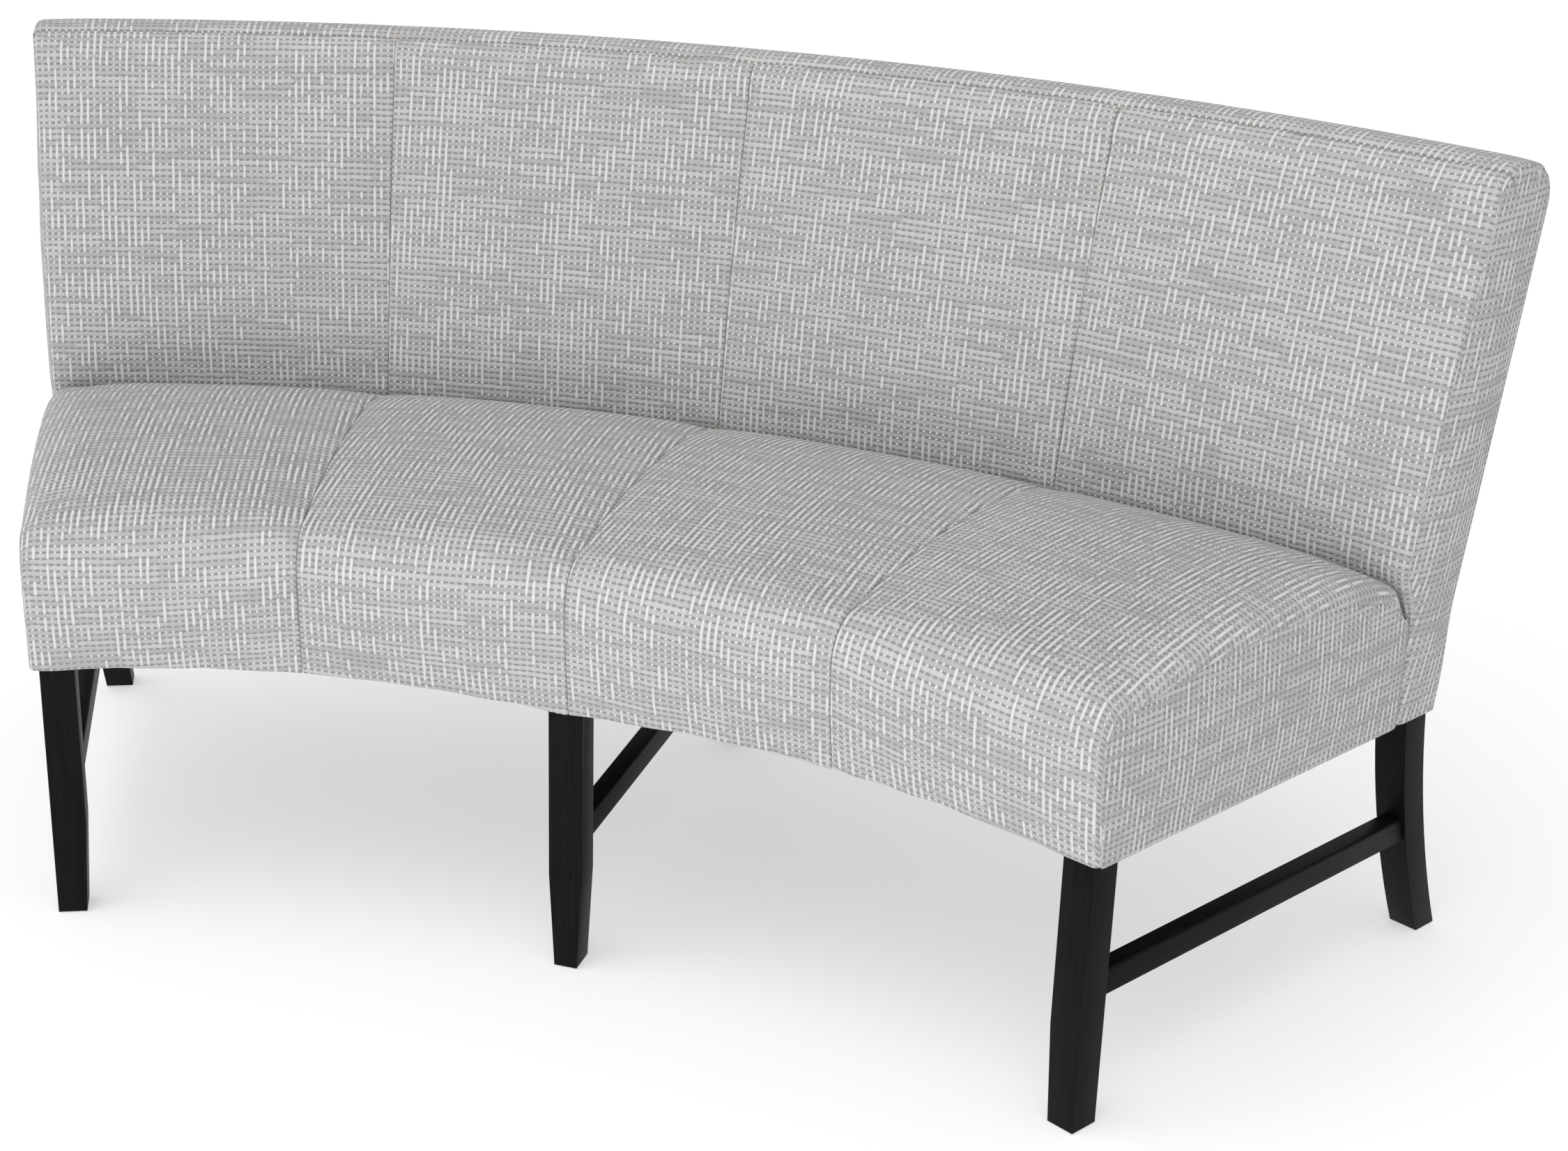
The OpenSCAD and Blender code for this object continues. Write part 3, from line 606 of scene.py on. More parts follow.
@dataclass(frozen=True)
class Dip:
    """A line along which the cover is drawn in, and how soon that fades beside it. Metres."""

    depth: float
    fade: float

    def at(self, distance: Array, share: Array | float = 1.0) -> Array:
        """How far the cover is drawn in at a distance from the line.

        Args:
            distance: distances from the line.
            share: how much of the dip is there.

        Returns:
            The drops.
        """
        return self.depth * share * np.exp(-distance / self.fade)


@dataclass(frozen=True)
class Dimple:
    """A round hollow in the cover, at a place along and across it. Metres."""

    depth: float
    along: float
    across: float
    half_length: float
    half_width: float

    def at(self, x: Array, y: Array) -> Array:
        """How far the cover is drawn in at a place.

        Args:
            x: places along the cover.
            y: places across it.

        Returns:
            The drops.
        """
        u, v = (x - self.along) / self.half_length, (y - self.across) / self.half_width
        return self.depth * np.exp(-(u**2) - v**2)


def rolled(w: Array, r: Array | float) -> Array:
    """Drop of a rounded edge.

    Args:
        w: distances from the edge.
        r: the edge's radius.

    Returns:
        The drops.
    """
    t = clamp(1.0 - np.maximum(w, 0.0) / r)
    return r * (1.0 - np.sqrt(np.maximum(0.0, 1.0 - t * t)))


def crowned(share: Array) -> Array:
    """Fullness across a share from one seam to the next."""
    return 1.0 - np.abs(2.0 * clamp(share) - 1.0) ** 4


def lane_shares(width: float) -> Array:
    """Positions across a panel from 0 to 1, close together at its two seams.

    Args:
        width: the panel's width in metres.

    Returns:
        The shares.
    """
    near_mm = [0.0, 0.15, 0.5, 1.2, 2.2, 3.6, 5.4, 7.8, 11.0, 15.0, 20.0, 26.5, 34.0]
    near = np.array(near_mm) / 1000.0
    pitch = 0.009
    steps = max(4, round((width - 2 * near[-1]) / pitch))
    middle = np.linspace(near[-1], width - near[-1], steps)[1:-1]
    return np.concatenate([near, middle, (width - near)[::-1]]) / width


@dataclass
class Outline:
    """The bench's cross-section: seat, back and band outlines, as depth behind the leg line and height."""

    seat_crown_z: float = 0.505
    crease_z: float = 0.473
    crease_depth: float = 0.445
    hem_lead: float = 0.008
    front_swell: float = 0.010
    front_fold_z: float = 0.430
    front_fold_run: float = 0.038
    front_fold_rise: float = 0.052
    crown_depth: float = 0.230
    back_slope: float = 0.207
    post_slope: float = 0.18
    back_fold_z: float = 0.840
    top_z: float = 0.880
    band_flat_w: float = 0.052
    back_belly: float = 0.007
    post_depth: float = 0.4955
    kick_z: float = 0.380
    bend_end_z: float = 0.440
    leg_d: float = 0.0344
    skin_out: float = 0.0075
    tuck_z: float = 0.425
    tuck_run: float = 0.025
    low_z: float = 0.402
    hem_end_z: float = 0.303
    hem_middle_z: float = 0.309
    hem_arch: float = 0.010
    rear_fold_run: float = 0.020
    rear_fold_rise: float = 0.028
    band_crown: float = 0.005
    seat_gap: float = 0.0004
    back_gap: float = 0.0006
    band_gap: float = 0.0004
    crease_lip: float = 0.001
    hem_points: int = 40

    def post_front(self, z: Array) -> Array:
        """Depth of the posts' front faces at heights above the kick.

        Args:
            z: heights, held to the kick's or more.

        Returns:
            The depths.
        """
        bend = self.bend_end_z - self.kick_z
        z = np.maximum(z, self.kick_z)
        curve = self.post_slope * (z - self.kick_z) ** 2 / (2 * bend)
        straight = self.post_slope * (z - self.kick_z - bend / 2)
        return self.post_depth + np.where(z < self.bend_end_z, curve, straight)

    def rear_skin(self, z: Array) -> Array:
        """Depth of the outside back."""
        return self.post_front(z) + self.leg_d + self.skin_out

    def tuck_depth(self, z: Array) -> Array:
        """Depth of the covers where they run down between seat and back."""
        share = clamp((self.crease_z - z) / (self.crease_z - self.tuck_z))
        return self.crease_depth + self.tuck_run * share

    def front_skin(self, z: Array) -> Array:
        """Depth of the sitter's side of the back above the crease.

        Args:
            z: heights.

        Returns:
            The depths.
        """
        t = (z - self.crease_z) / (self.back_fold_z - self.crease_z)
        rake = self.back_slope * (z - self.crease_z)
        return self.crease_depth + rake - self.back_belly * np.sin(math.pi * t)

    def fold_end(self) -> float:
        """Depth at which the seat's front fold ends."""
        return self.front_fold_run - self.hem_lead - self.front_swell

    def seat_top(self, d: Array) -> Array:
        """Height of the seat's top at a depth.

        Args:
            d: depths behind the front fold.

        Returns:
            The heights.
        """
        drop = self.seat_crown_z - self.front_fold_z - self.front_fold_rise
        ahead = (self.crown_depth - d) / (self.crown_depth - self.fold_end())
        front = self.seat_crown_z - drop * ahead**2
        t = np.maximum(0.0, (d - self.crown_depth) / (self.crease_depth - self.crown_depth))
        rear = self.seat_crown_z - (self.seat_crown_z - self.crease_z) * t**3
        return np.where(d < self.crown_depth, front, rear)

    def hem(self, a: Array, end_angle: float) -> Array:
        """Height of the front hem: it dips at the legs and arches between them.

        Args:
            a: angles from the centre line.
            end_angle: the angle of the bench's end.

        Returns:
            The heights.
        """
        t = np.minimum(1.0, np.abs(a) / end_angle)
        slant = (self.hem_end_z - self.hem_middle_z) * t
        return self.hem_middle_z + slant + self.hem_arch * np.sin(math.pi * t)

    def seat(self) -> Array:
        """Seat outline from the middle hem, over the front and the top, down into the crease.

        Returns:
            Its points, as depth and height.
        """
        s = np.linspace(0, 1, self.hem_points)
        front = np.stack([-self.hem_lead - self.front_swell * np.sin(math.pi / 2 * s),
                          self.hem_middle_z + (self.front_fold_z - self.hem_middle_z) * s], 1)
        t = np.linspace(0, math.pi / 2, 40)[1:]
        fold = np.stack([self.fold_end() - self.front_fold_run * np.cos(t),
                         self.front_fold_z + self.front_fold_rise * np.sin(t)], 1)
        d = np.linspace(self.fold_end(), self.crease_depth - self.seat_gap, 160)[1:]
        top = np.stack([d, self.seat_top(d)], 1)
        z = np.linspace(self.crease_z - self.crease_lip, self.low_z, 24)
        tuck = np.stack([self.tuck_depth(z) - self.seat_gap, z], 1)
        return np.concatenate([front, fold, top, tuck])

    def rear_fold(self) -> float:
        """Depth of the outside back where it starts to fold over the top."""
        return float(self.rear_skin(np.float64(self.back_fold_z)))

    def band_start(self) -> float:
        """Depth of the seam between the back panels and the top band."""
        return self.rear_fold() - self.rear_fold_run - self.band_flat_w

    def back(self) -> Array:
        """Back outline from behind the seat up to the front seam of the top band.

        Returns:
            Its points, as depth and height.
        """
        z = np.linspace(self.low_z, self.crease_z, 24)[:-1]
        tuck = np.stack([self.tuck_depth(z) + self.back_gap, z], 1)
        z = np.linspace(self.crease_z, self.back_fold_z, 160)
        face = np.stack([self.front_skin(z) + self.back_gap * (z == self.crease_z), z], 1)
        t = np.linspace(0, math.pi / 2, 30)[1:]
        run = self.band_start() - float(self.front_skin(np.float64(self.back_fold_z)))
        fold = np.stack([self.band_start() - run * np.cos(t),
                         self.back_fold_z + (self.top_z - self.back_fold_z) * np.sin(t)], 1)
        return np.concatenate([tuck, face, fold])

    def band(self) -> Array:
        """Band outline from its front seam over the rounded rear edge.

        Returns:
            Its points, as depth and height.
        """
        rear, start = self.rear_fold(), self.band_start()
        s = np.linspace(0, 1, 30)
        flat = np.stack([start + self.band_gap + (rear - self.rear_fold_run - start - self.band_gap) * s,
                         self.top_z + self.band_crown * np.sin(math.pi * s)], 1)
        t = np.linspace(0, math.pi / 2, 24)[1:]
        fold = np.stack([rear - self.rear_fold_run * (1 - np.sin(t)),
                         self.top_z - self.rear_fold_rise * (1 - np.cos(t))], 1)
        return np.concatenate([flat, fold])


def stepped(line: Array, steps: int, ease: float) -> tuple[Array, Array, Array]:
    """Even steps along an outline.

    Args:
        line: the outline's points.
        steps: how many points to return.
        ease: how much closer together the points lie at the two ends, from 0 to 1.

    Returns:
        The points, their outward normals and their distances along the outline.
    """
    lengths = np.concatenate([[0.0], np.cumsum(np.linalg.norm(np.diff(line, axis=0), axis=1))])
    t = np.linspace(0, 1, steps)
    t = t * (1 - ease) + ease * (0.5 - 0.5 * np.cos(math.pi * t))
    at = t * lengths[-1]
    points = np.stack([np.interp(at, lengths, line[:, k]) for k in (0, 1)], 1)
    slope = np.gradient(points, at, axis=0)
    slope /= np.linalg.norm(slope, axis=1, keepdims=True)
    return points, np.stack([-slope[:, 1], slope[:, 0]], 1), at


def ripple(x: Array, seed: int, pitch: float) -> Array:
    """Smooth seeded wander of about -1 to 1 along a distance.

    Args:
        x: distances in metres.
        seed: which wander.
        pitch: its rough wavelength in metres.

    Returns:
        The wander at each distance.
    """
    rng = np.random.default_rng(seed)
    total = np.zeros_like(x, dtype=float)
    for _ in range(5):
        strength, length = rng.uniform(0.4, 1.0), pitch * rng.uniform(0.7, 1.9)
        total += strength * np.sin(math.tau * x / length + rng.uniform(0, math.tau))
    return total / 3.0


# Making meshes


class Maker:
    """Operator steps that every piece shares."""

    merge: float = 0.00002
    flat_angle: float = math.radians(0.5)
    edge_angle: float = math.radians(40.0)
    smooth_angle: float = math.radians(35.0)

    @staticmethod
    def alone(piece: bpy.types.Object) -> None:
        """Selects one object and makes it active."""
        bpy.ops.object.select_all(action="DESELECT")
        piece.select_set(True)
        bpy.context.view_layer.objects.active = piece

    @staticmethod
    def apply(piece: bpy.types.Object, kind: str, **settings: object) -> None:
        """Adds a modifier and applies it.

        Args:
            piece: the object.
            kind: the modifier's type.
            settings: its settings.
        """
        Maker.alone(piece)
        modifier = piece.modifiers.new(kind.title(), kind)
        for key, value in settings.items():
            setattr(modifier, key, value)
        bpy.ops.object.modifier_apply(modifier=modifier.name)

    @staticmethod
    def spread(name: str, across: int, along: int, where: Where) -> bpy.types.Object:
        """Lays a grid primitive over a surface and gives it its cloth coordinates.

        Args:
            name: the piece's name.
            across: points across.
            along: points along.
            where: takes the whole numbers of a point across and along, and returns points and cloth
                coordinates. It may also return the cloth coordinates of a neighbour's fabric and 1 where that
                fabric is laid.

        Returns:
            The open sheet.
        """
        bpy.ops.object.select_all(action="DESELECT")
        bpy.ops.mesh.primitive_grid_add(x_subdivisions=across - 1, y_subdivisions=along - 1, size=1.0)
        piece = bpy.context.active_object
        piece.name = piece.data.name = name
        mesh = piece.data
        flat = Maker.points(piece)
        i = np.rint((flat[:, 0] + 0.5) * (across - 1)).astype(int)
        j = np.rint((flat[:, 1] + 0.5) * (along - 1)).astype(int)
        points, cloth, *neighbour = where(i, j)
        Maker.move(piece, points)
        mesh.uv_layers[0].name = "cloth"
        corner = np.zeros(len(mesh.loops), dtype=np.int32)
        mesh.loops.foreach_get("vertex_index", corner)
        laid = cloth[corner]
        if neighbour:
            other, turned = neighbour
            faces = np.repeat(turned[corner].reshape(-1, 4).mean(1) > 0.5, 4)
            laid = np.where(faces[:, None], other[corner], laid)
        mesh.uv_layers["cloth"].data.foreach_set("uv", laid.astype(np.float32).ravel())
        return piece

    @staticmethod
    def mark(piece: bpy.types.Object, lie: Array) -> None:
        """Writes how far the furrows between a piece's yarns lie in shadow, from 0 to 1."""
        layer = piece.data.attributes.new("lie", "FLOAT", "POINT")
        layer.data.foreach_set("value", lie.astype(np.float32))

    @staticmethod
    def as_cloth(piece: bpy.types.Object, firm: Array, pressure: float, frames: int) -> None:
        """Makes a sheet a cloth that air presses outwards, with some of its points held.

        Args:
            piece: the sheet.
            firm: how firmly each point is held, from 0 to 1.
            pressure: the air's pressure.
            frames: frames that the simulation runs for.
        """
        group = piece.vertex_groups.new(name="held")
        steps = np.round(firm, 2)
        for step in np.unique(steps):
            group.add(np.nonzero(steps == step)[0].tolist(), float(step), "REPLACE")
        cloth = piece.modifiers.new("Settle", "CLOTH")
        fabric = {"quality": 5, "mass": 0.3, "tension_stiffness": 25.0, "compression_stiffness": 12.0,
                  "shear_stiffness": 8.0, "bending_stiffness": 0.4, "use_pressure": True,
                  "uniform_pressure_force": pressure, "vertex_group_mass": group.name}
        for key, value in fabric.items():
            setattr(cloth.settings, key, value)
        cloth.settings.effector_weights.gravity = 0.0
        cloth.collision_settings.use_collision = False
        cloth.collision_settings.use_self_collision = False
        cloth.point_cache.frame_start, cloth.point_cache.frame_end = 1, frames

    @staticmethod
    def settle(pieces: list[bpy.types.Object], held: dict[str, Array], cap: float, pressure: float,
               frames: int) -> None:
        """Fills sheets by cloth simulation and limits how far a point moves.

        Args:
            pieces: the sheets, which are simulated side by side.
            held: for each piece's name, how firmly each point is held, from 0 to 1.
            cap: the furthest that a point may move, in metres.
            pressure: the cloth's pressure.
            frames: frames that the simulation runs for.
        """
        scene = bpy.context.scene
        scene.frame_set(1)
        starts = {piece.name: Maker.points(piece) for piece in pieces}
        for piece in pieces:
            Maker.as_cloth(piece, held[piece.name], pressure, frames)
        for number in range(1, frames + 1):
            scene.frame_set(number)
        for piece in pieces:
            Maker.alone(piece)
            bpy.ops.object.modifier_apply(modifier="Settle")
            moved = Maker.points(piece) - starts[piece.name]
            length = np.linalg.norm(moved, axis=1, keepdims=True)
            short = cap * np.tanh(length / cap) / np.maximum(length, 1e-9)
            Maker.move(piece, starts[piece.name] + moved * short)
            piece.vertex_groups.clear()
            log.info("%s settled, %.1f mm at most", piece.name, float((length * short).max()) * 1000)
        scene.frame_set(1)

    @staticmethod
    def points(piece: bpy.types.Object) -> Array:
        """The piece's points as an array."""
        flat = np.zeros(len(piece.data.vertices) * 3)
        piece.data.vertices.foreach_get("co", flat)
        return flat.reshape(-1, 3)

    @staticmethod
    def move(piece: bpy.types.Object, points: Array) -> None:
        """Moves the piece's points."""
        piece.data.vertices.foreach_set("co", points.astype(np.float32).ravel())
        piece.data.update()

    @staticmethod
    def outwards(piece: bpy.types.Object, side: float) -> None:
        """Makes a sheet's normals agree and point to one side.

        Args:
            piece: the sheet.
            side: 1 for the side of greater x, or -1 for the other.
        """
        Maker.alone(piece)
        bpy.ops.object.mode_set(mode="EDIT")
        bpy.ops.mesh.select_all(action="SELECT")
        bpy.ops.mesh.normals_make_consistent(inside=False)
        bpy.ops.object.mode_set(mode="OBJECT")
        if piece.data.polygons[len(piece.data.polygons) // 2].normal.x * side < 0:
            piece.data.flip_normals()

    @staticmethod
    def cut_away(piece: bpy.types.Object, boxes: list[tuple[Vector, Vector]]) -> None:
        """Deletes the faces of a level sheet whose centres lie within the plan of any box.

        Args:
            piece: the sheet.
            boxes: low and high corners.
        """
        Maker.alone(piece)
        bpy.ops.object.mode_set(mode="EDIT")
        bpy.context.tool_settings.mesh_select_mode = (False, False, True)
        bpy.ops.mesh.select_all(action="DESELECT")
        bpy.ops.object.mode_set(mode="OBJECT")
        for face in piece.data.polygons:
            x, y, _ = face.center
            face.select = any(low.x < x < high.x and low.y < y < high.y for low, high in boxes)
        bpy.ops.object.mode_set(mode="EDIT")
        bpy.ops.mesh.delete(type="FACE")
        bpy.ops.object.mode_set(mode="OBJECT")

    @staticmethod
    def finish_sheet(piece: bpy.types.Object, thickness: float, subdivide: bool = True) -> None:
        """Gives a sheet its thickness inwards, smooths it and shades it smooth.

        Args:
            piece: the sheet.
            thickness: its thickness in metres.
            subdivide: whether one subdivision follows.
        """
        Maker.apply(piece, "SOLIDIFY", thickness=thickness, offset=-1.0, use_even_offset=True, use_rim=True)
        if subdivide:
            Maker.apply(piece, "SUBSURF", levels=1, render_levels=1)
        Maker.alone(piece)
        bpy.ops.object.shade_smooth()

    @staticmethod
    def softened(node: str, width: float, segments: int) -> bpy.types.Object:
        """A copy of a rigid CAD node with its doubles merged and its edges eased.

        Args:
            node: the CAD node's name.
            width: width of the eased edges, in metres.
            segments: faces across an eased edge.

        Returns:
            The new piece, which stands for the node.
        """
        source = frame["nodes"][node]
        piece = source.copy()
        piece.data = source.data.copy()
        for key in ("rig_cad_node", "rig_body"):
            if key in piece:
                del piece[key]
        piece.name = f"{node}_eased"
        piece.data.name = piece.name
        piece.parent = None
        piece.data.materials.clear()
        bpy.context.scene.collection.objects.link(piece)
        Maker.alone(piece)
        bpy.ops.object.mode_set(mode="EDIT")
        bpy.ops.mesh.select_all(action="SELECT")
        bpy.ops.mesh.remove_doubles(threshold=Maker.merge)
        bpy.ops.mesh.dissolve_limited(angle_limit=Maker.flat_angle)
        bpy.ops.object.mode_set(mode="OBJECT")
        Maker.apply(piece, "BEVEL", width=width, segments=segments, limit_method="ANGLE",
                    angle_limit=Maker.edge_angle, harden_normals=False, use_clamp_overlap=True)
        Maker.alone(piece)
        bpy.ops.object.shade_smooth_by_angle(angle=Maker.smooth_angle)
        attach(piece, "root")
        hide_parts(node)
        return piece


def dress(piece: bpy.types.Object, material: bpy.types.Material) -> None:
    """Gives a piece its only material.

    Args:
        piece: the piece.
        material: its material.
    """
    piece.data.materials.clear()
    piece.data.materials.append(material)


# Sub-assemblies


@dataclass
class Spots:
    """Points of one panel on the plain cross-section, before it is swelled and drawn in.

    share runs from seam to seam, out is the outward normal, along the distance along the cross-section, end
    the distance from the bench's end and width the panel's width at that depth.
    """

    share: Array
    angle: Array
    depth: Array
    height: Array
    out: Array
    along: Array
    end: Array
    width: Array

    @property
    def up(self) -> Array:
        """How far the surface faces up, from 0 to 1."""
        return np.maximum(0.0, self.out[:, 1])


@dataclass
class Upholstery:
    """The whole woven cover: seat and back panels, top band, end gussets and outside back. Metres.

    A "middle" is the depth at which a piece's width is measured, a "cut" is where on the cloth it is cut, and
    a "lie" is how far the furrows between the yarns lie in shadow, from 0 to 1.
    """

    plan: Plan
    line: Outline
    cover: bpy.types.Material
    thickness: float = 0.003
    stitched_thickness: float = 0.0027
    outside_thickness: float = 0.0022
    seat_puff: float = 0.005
    back_puff: float = 0.006
    gusset_puff: float = 0.005
    seat_edge_r: float = 0.022
    face_edge_r: float = 0.008
    seam_r: float = 0.0019
    seam_gap: float = 0.00002
    end_gap: float = 0.0004
    end_fall: float = 0.007
    end_fall_w: float = 0.160
    corner_w: float = 0.045
    low_corner_h: float = 0.07
    low_corner_pull: float = 0.007
    top_corner_h: float = 0.050
    top_corner_pull: float = 0.002
    waver: float = 0.0005
    seam_lap: float = 0.0008
    tuck_start: float = 0.004
    tuck_h: float = 0.045
    tucked_edge: float = 0.0005
    rear_inset: float = 0.0003
    back_gusset_share: float = 1.6
    seat_gusset_lie: float = 0.4
    back_gusset_lie: float = 0.2
    hem_wave: float = 0.0012
    hem_wave_pitch: float = 0.06
    shown_h: float = 0.03
    furthest_move: float = 0.003
    pressure: float = 4.0
    frames: int = 20
    held_w: float = 0.010
    held_crease: float = 0.02
    seat_middle: float = 0.2
    back_middle: float = 0.52
    band_middle: float = 0.58
    outside_middle: float = 0.55
    panel_cut: tuple[float, float] = (1.3, 0.77)
    back_cut: float = 7.9
    band_cut: tuple[float, float] = (11.3, 0.4)
    end_cut: tuple[float, float] = (15.1, 0.3)
    outside_cut: float = 23.0
    back_tilt: float = 0.19
    seat_crease: Dip = Dip(0.0045, 0.005)
    back_crease: Dip = Dip(0.0030, 0.006)
    gusset_crease: Dip = Dip(0.0040, 0.004)
    stitches: Dip = Dip(0.0006, 0.010)
    gathers: Dip = Dip(0.0004, 0.022)
    top_seam: Dip = Dip(0.0026, 0.0035)
    band_seam: Dip = Dip(0.0034, 0.0035)
    band_gathers: Dip = Dip(0.00045, 0.020)
    band_joint: Dip = Dip(0.0016, 0.014)
    left_dimple: Dimple = Dimple(0.0012, 0.036, 0.018, 0.018, 0.018)
    right_dimple: Dimple = Dimple(0.0020, -0.042, 0.016, 0.020, 0.017)

    def edge_r(self, up: Array) -> Array:
        """Radius that a seat panel turns over the bench's end with: wide on the top, narrow in front."""
        return self.face_edge_r + (self.seat_edge_r - self.face_edge_r) * up

    def fall(self, w: Array) -> Array:
        """Gentle drop of the seat towards an end."""
        return self.end_fall * np.maximum(0.0, 1.0 - w / self.end_fall_w) ** 2

    def seam_drop(self, k: int, spots: Spots, seed: int) -> Array:
        """How far a panel turns in at its inner seams, with small gathers along the stitches.

        Args:
            k: the panel's number from the left.
            spots: the panel's points.
            seed: seed of the gathers.

        Returns:
            The drop at each point.
        """
        from_left, from_right = spots.share * spots.width, (1 - spots.share) * spots.width
        drop = np.zeros_like(spots.share)
        for inner, w in ((k > 0, from_left), (k < self.plan.panels - 1, from_right)):
            if inner:
                pull = 1.0 + 0.18 * ripple(spots.along, seed, 0.034)
                drop = drop + rolled(w, self.seam_r) + self.stitches.at(w) * pull
                drop = drop + self.gathers.at(w) * ripple(spots.along + 0.35 * w, seed + 3, 0.027)
        return drop

    def end_cloth(self, depth: Array, height: Array, right: Array | bool, seat: bool) -> Array:
        """Cloth coordinates of the end gussets, which the panels' turned ends share.

        Args:
            depth: depths behind the leg line.
            height: heights.
            right: whether the end is the right one.
            seat: whether it is an end of the seat or of the back.

        Returns:
            The cloth coordinates.
        """
        tilt, number = (0.0, 21) if seat else (self.back_tilt, 31)
        side = np.where(right, 1.0, -1.0)
        x, y = self.end_cut
        return np.stack([depth - tilt * height + x + side, height + y * (number + (side > 0))], 1)

    def panel_cloth(self, k: int, placed: Array, spots: Spots, seat: bool) -> tuple[Array, Array]:
        """Cloth coordinates of a panel, whose fabric runs straight along the panel's middle.

        Args:
            k: the panel's number from the left.
            placed: its points in the bench's frame.
            spots: the same points on the plain cross-section.
            seat: whether it is a seat panel or a back panel.

        Returns:
            The cloth coordinates, and how far each point is turned over the bench's end, from 0 to 1.
        """
        plan = self.plan
        middle = (plan.seam(k) + plan.seam(k + 1)) / 2
        aside = np.array([math.cos(middle), -math.sin(middle)])
        ahead = np.array([math.sin(middle), math.cos(middle)])
        local = placed[:, :2] - np.array([0.0, plan.centre_y + plan.fan_offset])
        bow = local @ ahead - plan.reach(np.float64(middle), spots.depth)
        radius = self.edge_r(spots.up) if seat else self.face_edge_r
        turned = clamp(1 - spots.end / radius)
        over = radius * (np.arcsin(turned) - turned) * np.sign(spots.angle)
        x, y = self.panel_cut
        cloth = np.stack([local @ aside + over + x * k + (0.0 if seat else self.back_cut),
                          spots.along + bow * (1.0 if seat else 0.15) + y * k], 1)
        return cloth, turned

    def seat_shape(self, k: int, spots: Spots) -> tuple[Array, Array, Array]:
        """Shapes a seat panel: its waved hem, its swell, its turned ends and its drop into the crease.

        Args:
            k: the panel's number from the left.
            spots: its points.

        Returns:
            Their heights, how far they are drawn in, and how much of the seams shows there.
        """
        line = self.line
        hem = line.hem(spots.angle, self.plan.end_angle)
        low = clamp((line.front_fold_z - spots.height) / (line.front_fold_z - line.hem_middle_z))
        in_front = spots.depth < 0.0
        wave = self.hem_wave * ripple(spots.share * spots.width, 60 + k, self.hem_wave_pitch)
        lowered = spots.height + (hem - line.hem_middle_z + wave) * low
        height = np.where(in_front, lowered, spots.height)
        body = clamp((line.crease_depth - line.crease_lip - spots.depth) / 0.03) * clamp(spots.along / 0.02)
        drop = -self.seat_puff * crowned(spots.share) * body * (0.4 + 0.6 * spots.up)
        drop = drop + rolled(spots.end, self.edge_r(spots.up)) + spots.up * self.fall(spots.end)
        drop = drop + self.seat_crease.at(np.abs(line.crease_depth - spots.depth), spots.up)
        return height, drop, clamp((spots.height - line.low_z) / self.shown_h) + in_front

    def back_shape(self, k: int, spots: Spots) -> tuple[Array, Array, Array]:
        """Shapes a back panel: its swell, its turned ends, its foot in the crease and its top seam.

        Args:
            k: the panel's number from the left.
            spots: its points.

        Returns:
            Their heights, how far they are drawn in, and how much of the seams shows there.
        """
        line, z = self.line, spots.height
        t = np.maximum(0.0, (z - line.crease_z) / (line.top_z - line.crease_z))
        drop = -self.back_puff * crowned(spots.share) * crowned(t) + rolled(spots.end, self.face_edge_r)
        drop = drop + self.back_crease.at(np.abs(z - line.crease_z))
        pull = 1.0 + 0.5 * ripple(spots.share * spots.width, 40 + k, 0.05)
        drop = drop + self.top_seam.at(line.top_z - z) * pull
        return z, drop, clamp((z - line.low_z) / self.shown_h)

    def panel(self, name: str, k: int, outline: Array, rows: int,
              seat: bool) -> tuple[bpy.types.Object, Array]:
        """One cover panel between two seams, as an open sheet.

        Args:
            name: the piece's name.
            k: the panel's number from the left.
            outline: the cross-section that it follows.
            rows: points along the cross-section.
            seat: whether it is a seat panel or a back panel.

        Returns:
            The sheet and how firmly each of its points is held in the simulation.
        """
        plan, line = self.plan, self.line
        points, normals, at = stepped(outline, rows, 0.35)
        a0, a1 = plan.seam(k), plan.seam(k + 1)
        width = plan.radius(self.seat_middle if seat else self.back_middle) * (a1 - a0)
        shares = lane_shares(width)
        gap0 = self.end_gap if k == 0 else self.seam_gap
        gap1 = -self.end_gap if k == plan.panels - 1 else -self.seam_gap

        def where(i: Array, j: Array) -> tuple[Array, ...]:
            """Places the points of the grid.

            Args:
                i: their whole numbers across.
                j: their whole numbers along.

            Returns:
                The points and their cloth coordinates, the end gusset's ones, and 1 where those are laid.
            """
            a, depth = a0 + (a1 - a0) * shares[i], points[j, 0]
            spots = Spots(share=shares[i], angle=a, depth=depth, height=points[j, 1], out=normals[j],
                          along=at[j], end=plan.end_distance(a, depth), width=plan.radius(depth) * (a1 - a0))
            height, drop, shown = self.seat_shape(k, spots) if seat else self.back_shape(k, spots)
            drop = drop + self.seam_drop(k, spots, 11 * k + (1 if seat else 6)) * clamp(shown)
            depth, height = depth - spots.out[:, 0] * drop, height - spots.out[:, 1] * drop
            placed = plan.put(a, depth, height, gap0 + (gap1 - gap0) * spots.share)
            cloth, turned = self.panel_cloth(k, placed, spots, seat)
            return placed, cloth, self.end_cloth(depth, height, a > 0, seat), (turned > 0.985) * 1.0

